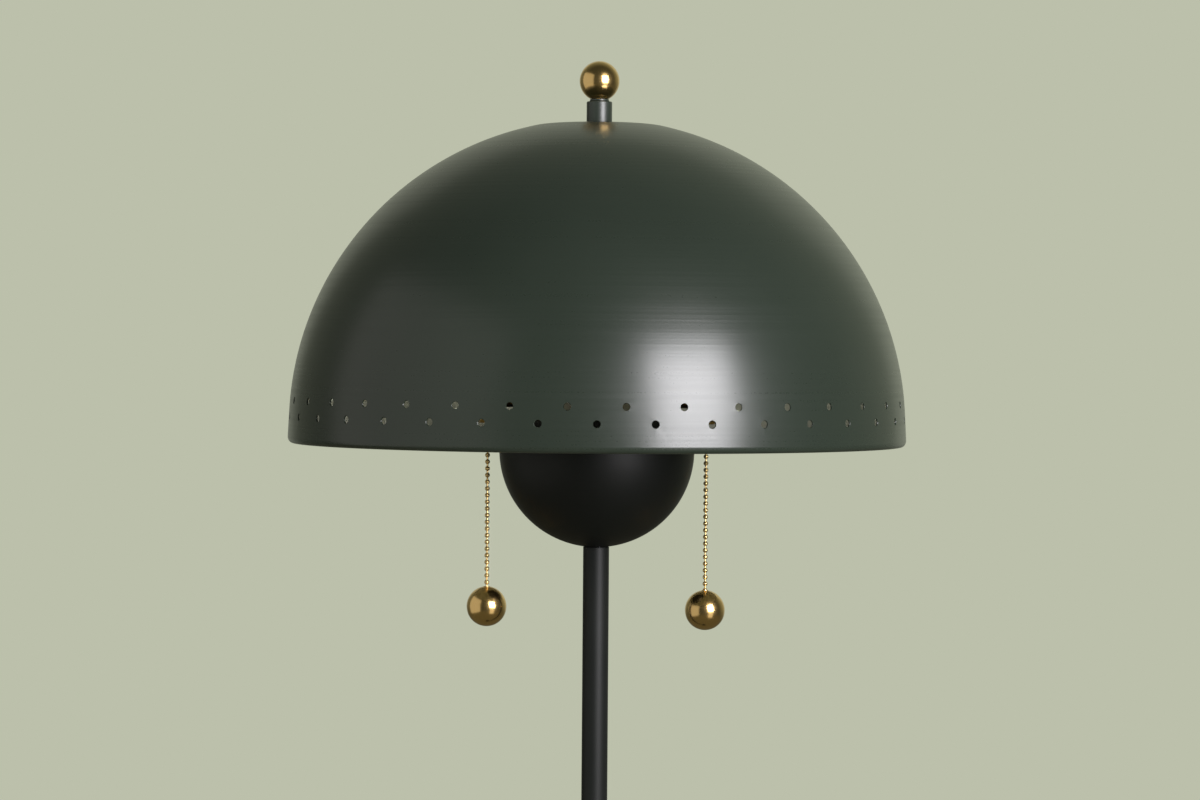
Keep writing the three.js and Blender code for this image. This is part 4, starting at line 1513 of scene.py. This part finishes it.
        def part(face: bmesh.types.BMFace) -> int:
            """1 on the insulator round the tip."""
            return int(glassy[0] < face.calc_center_median().z < glassy[1])

        bm = turned(points, 56, closed=False)
        return self._dress("bulb_cap", "bulb_cap_metal", bm, ROLLED_ALUMINIUM, BLACK_NYLON, choose=part)

    def _screw_shell(self) -> bpy.types.Object:
        """Makes the thin brass screw shell that takes the bulb."""
        r, low, high = Room.of(f"{self.side}_screw_shell").span
        inner = r - 0.5
        points = rounded([(inner, low), (r, low, 0.15), (r, high, 0.2), (inner, high, 0.2)], steps=2)
        return self._dress("screw_shell", "raw_brass", turned(points, 56), TURNED_BRASS)


# ---- rod, seat and coupler ---------------------------------------------------------------


@dataclass(frozen=True)
class ShadeRod:
    """The rod that the shade hangs on, with its coupler and seat."""

    bore: float = 5.3

    def build(self) -> list[bpy.types.Object]:
        """Makes the rod, the coupler and the seat."""
        return [self._rod(), self._coupler(), self._seat()]

    def _rod(self) -> bpy.types.Object:
        """Makes the threaded rod."""
        r, low, high = Room.of("shade_rod").span
        points = rounded([(0, low), (r, low, 0.7), (r, high, 0.7), (0, high)], closed=False)
        label = Label("shade_rod_threaded", "lamp", "raw_brass", ("shade_rod",))
        return finished(turned(points, 48, closed=False), label, [THREADED_BRASS])

    def _coupler(self) -> bpy.types.Object:
        """Makes the coupler, with a groove near each end."""
        r, low, high = Room.of("rod_coupler").span
        points = rounded(
            [
                (self.bore, low, 0.3),
                (r, low, 0.5),
                (r, low + 3, 0.2),
                (r - 0.5, low + 3.6),
                (r, low + 4.2, 0.2),
                (r, high - 4.2, 0.2),
                (r - 0.5, high - 3.6),
                (r, high - 3, 0.2),
                (r, high, 0.5),
                (self.bore, high, 0.3),
            ],
            steps=3,
        )
        label = Label("rod_coupler_turned", "lamp", "raw_brass", ("rod_coupler",))
        return finished(turned(points, 48), label, [TURNED_BRASS])

    def _seat(self) -> bpy.types.Object:
        """Makes the flanged seat under the top of the shade."""
        r, low, high = Room.of("shade_seat").span
        under, hub = high - 3, 9.0
        points = rounded(
            [
                (self.bore, low, 0.4),
                (hub, low, 0.6),
                (hub, under, 0.8),
                (r, under, 0.5),
                (r, high, 0.5),
                (self.bore, high),
            ]
        )
        label = Label("shade_seat_turned", "lamp", "zinc_steel", ("shade_seat",))
        return finished(turned(points, 56), label, [ZINC_STEEL])


# ---- pieces kept from the frame ----------------------------------------------------------


@dataclass(frozen=True)
class KeptPieces:
    """Frame nodes whose own shape stays, each with its finish."""

    finishes: tuple[tuple[str, Finish], ...] = (
        ("base_weight", CAST_IRON),
        ("base_washer", ZINC_STEEL),
        ("base_nut", ZINC_STEEL),
        ("base_nipple", THREADED_STEEL),
        ("stem_nipple_1", THREADED_STEEL),
        ("stem_nipple_2", THREADED_STEEL),
        ("bowl_nipple", THREADED_STEEL),
        ("bowl_washer", ZINC_STEEL),
        ("bowl_nut", ZINC_STEEL),
        ("crossbar", ZINC_STEEL),
        ("crossbar_nut", ZINC_STEEL),
        ("stem_lead", PVC_SLEEVE),
        ("splice_cap", WHITE_THERMOSET),
    )
    paired: tuple[tuple[str, Finish], ...] = (
        ("holder_core", BLACK_NYLON),
        ("contact", TURNED_BRASS),
        ("spool", TURNED_BRASS),
        ("spool_spring", SPRING_STEEL),
        ("holder_lead", PVC_SLEEVE),
    )

    def build(self) -> None:
        """Gives each node its finish."""
        pairs = [(f"{side}_{name}", finish) for side in SIDES for name, finish in self.paired]
        for name, finish in (*self.finishes, *pairs):
            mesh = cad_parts[name].data
            mesh.materials.clear()
            mesh.materials.append(finish.material())
            LOG.info("finished %s", name)


def main() -> None:
    """Builds the studio and the lamp."""
    logging.basicConfig(level=logging.INFO, format="%(message)s")
    StudioSet().build()
    for part in (
        PullSwitch("left"),
        PullSwitch("right"),
        DomeShade(),
        Finial(),
        SpunBowl(),
        Stem(),
        Base(),
        ShadeRod(),
        Lampholder("left"),
        Lampholder("right"),
    ):
        pieces = part.build()
        LOG.info("%s: %d pieces", type(part).__name__, len(pieces))
    KeptPieces().build()


if __name__ == "__main__":
    main()
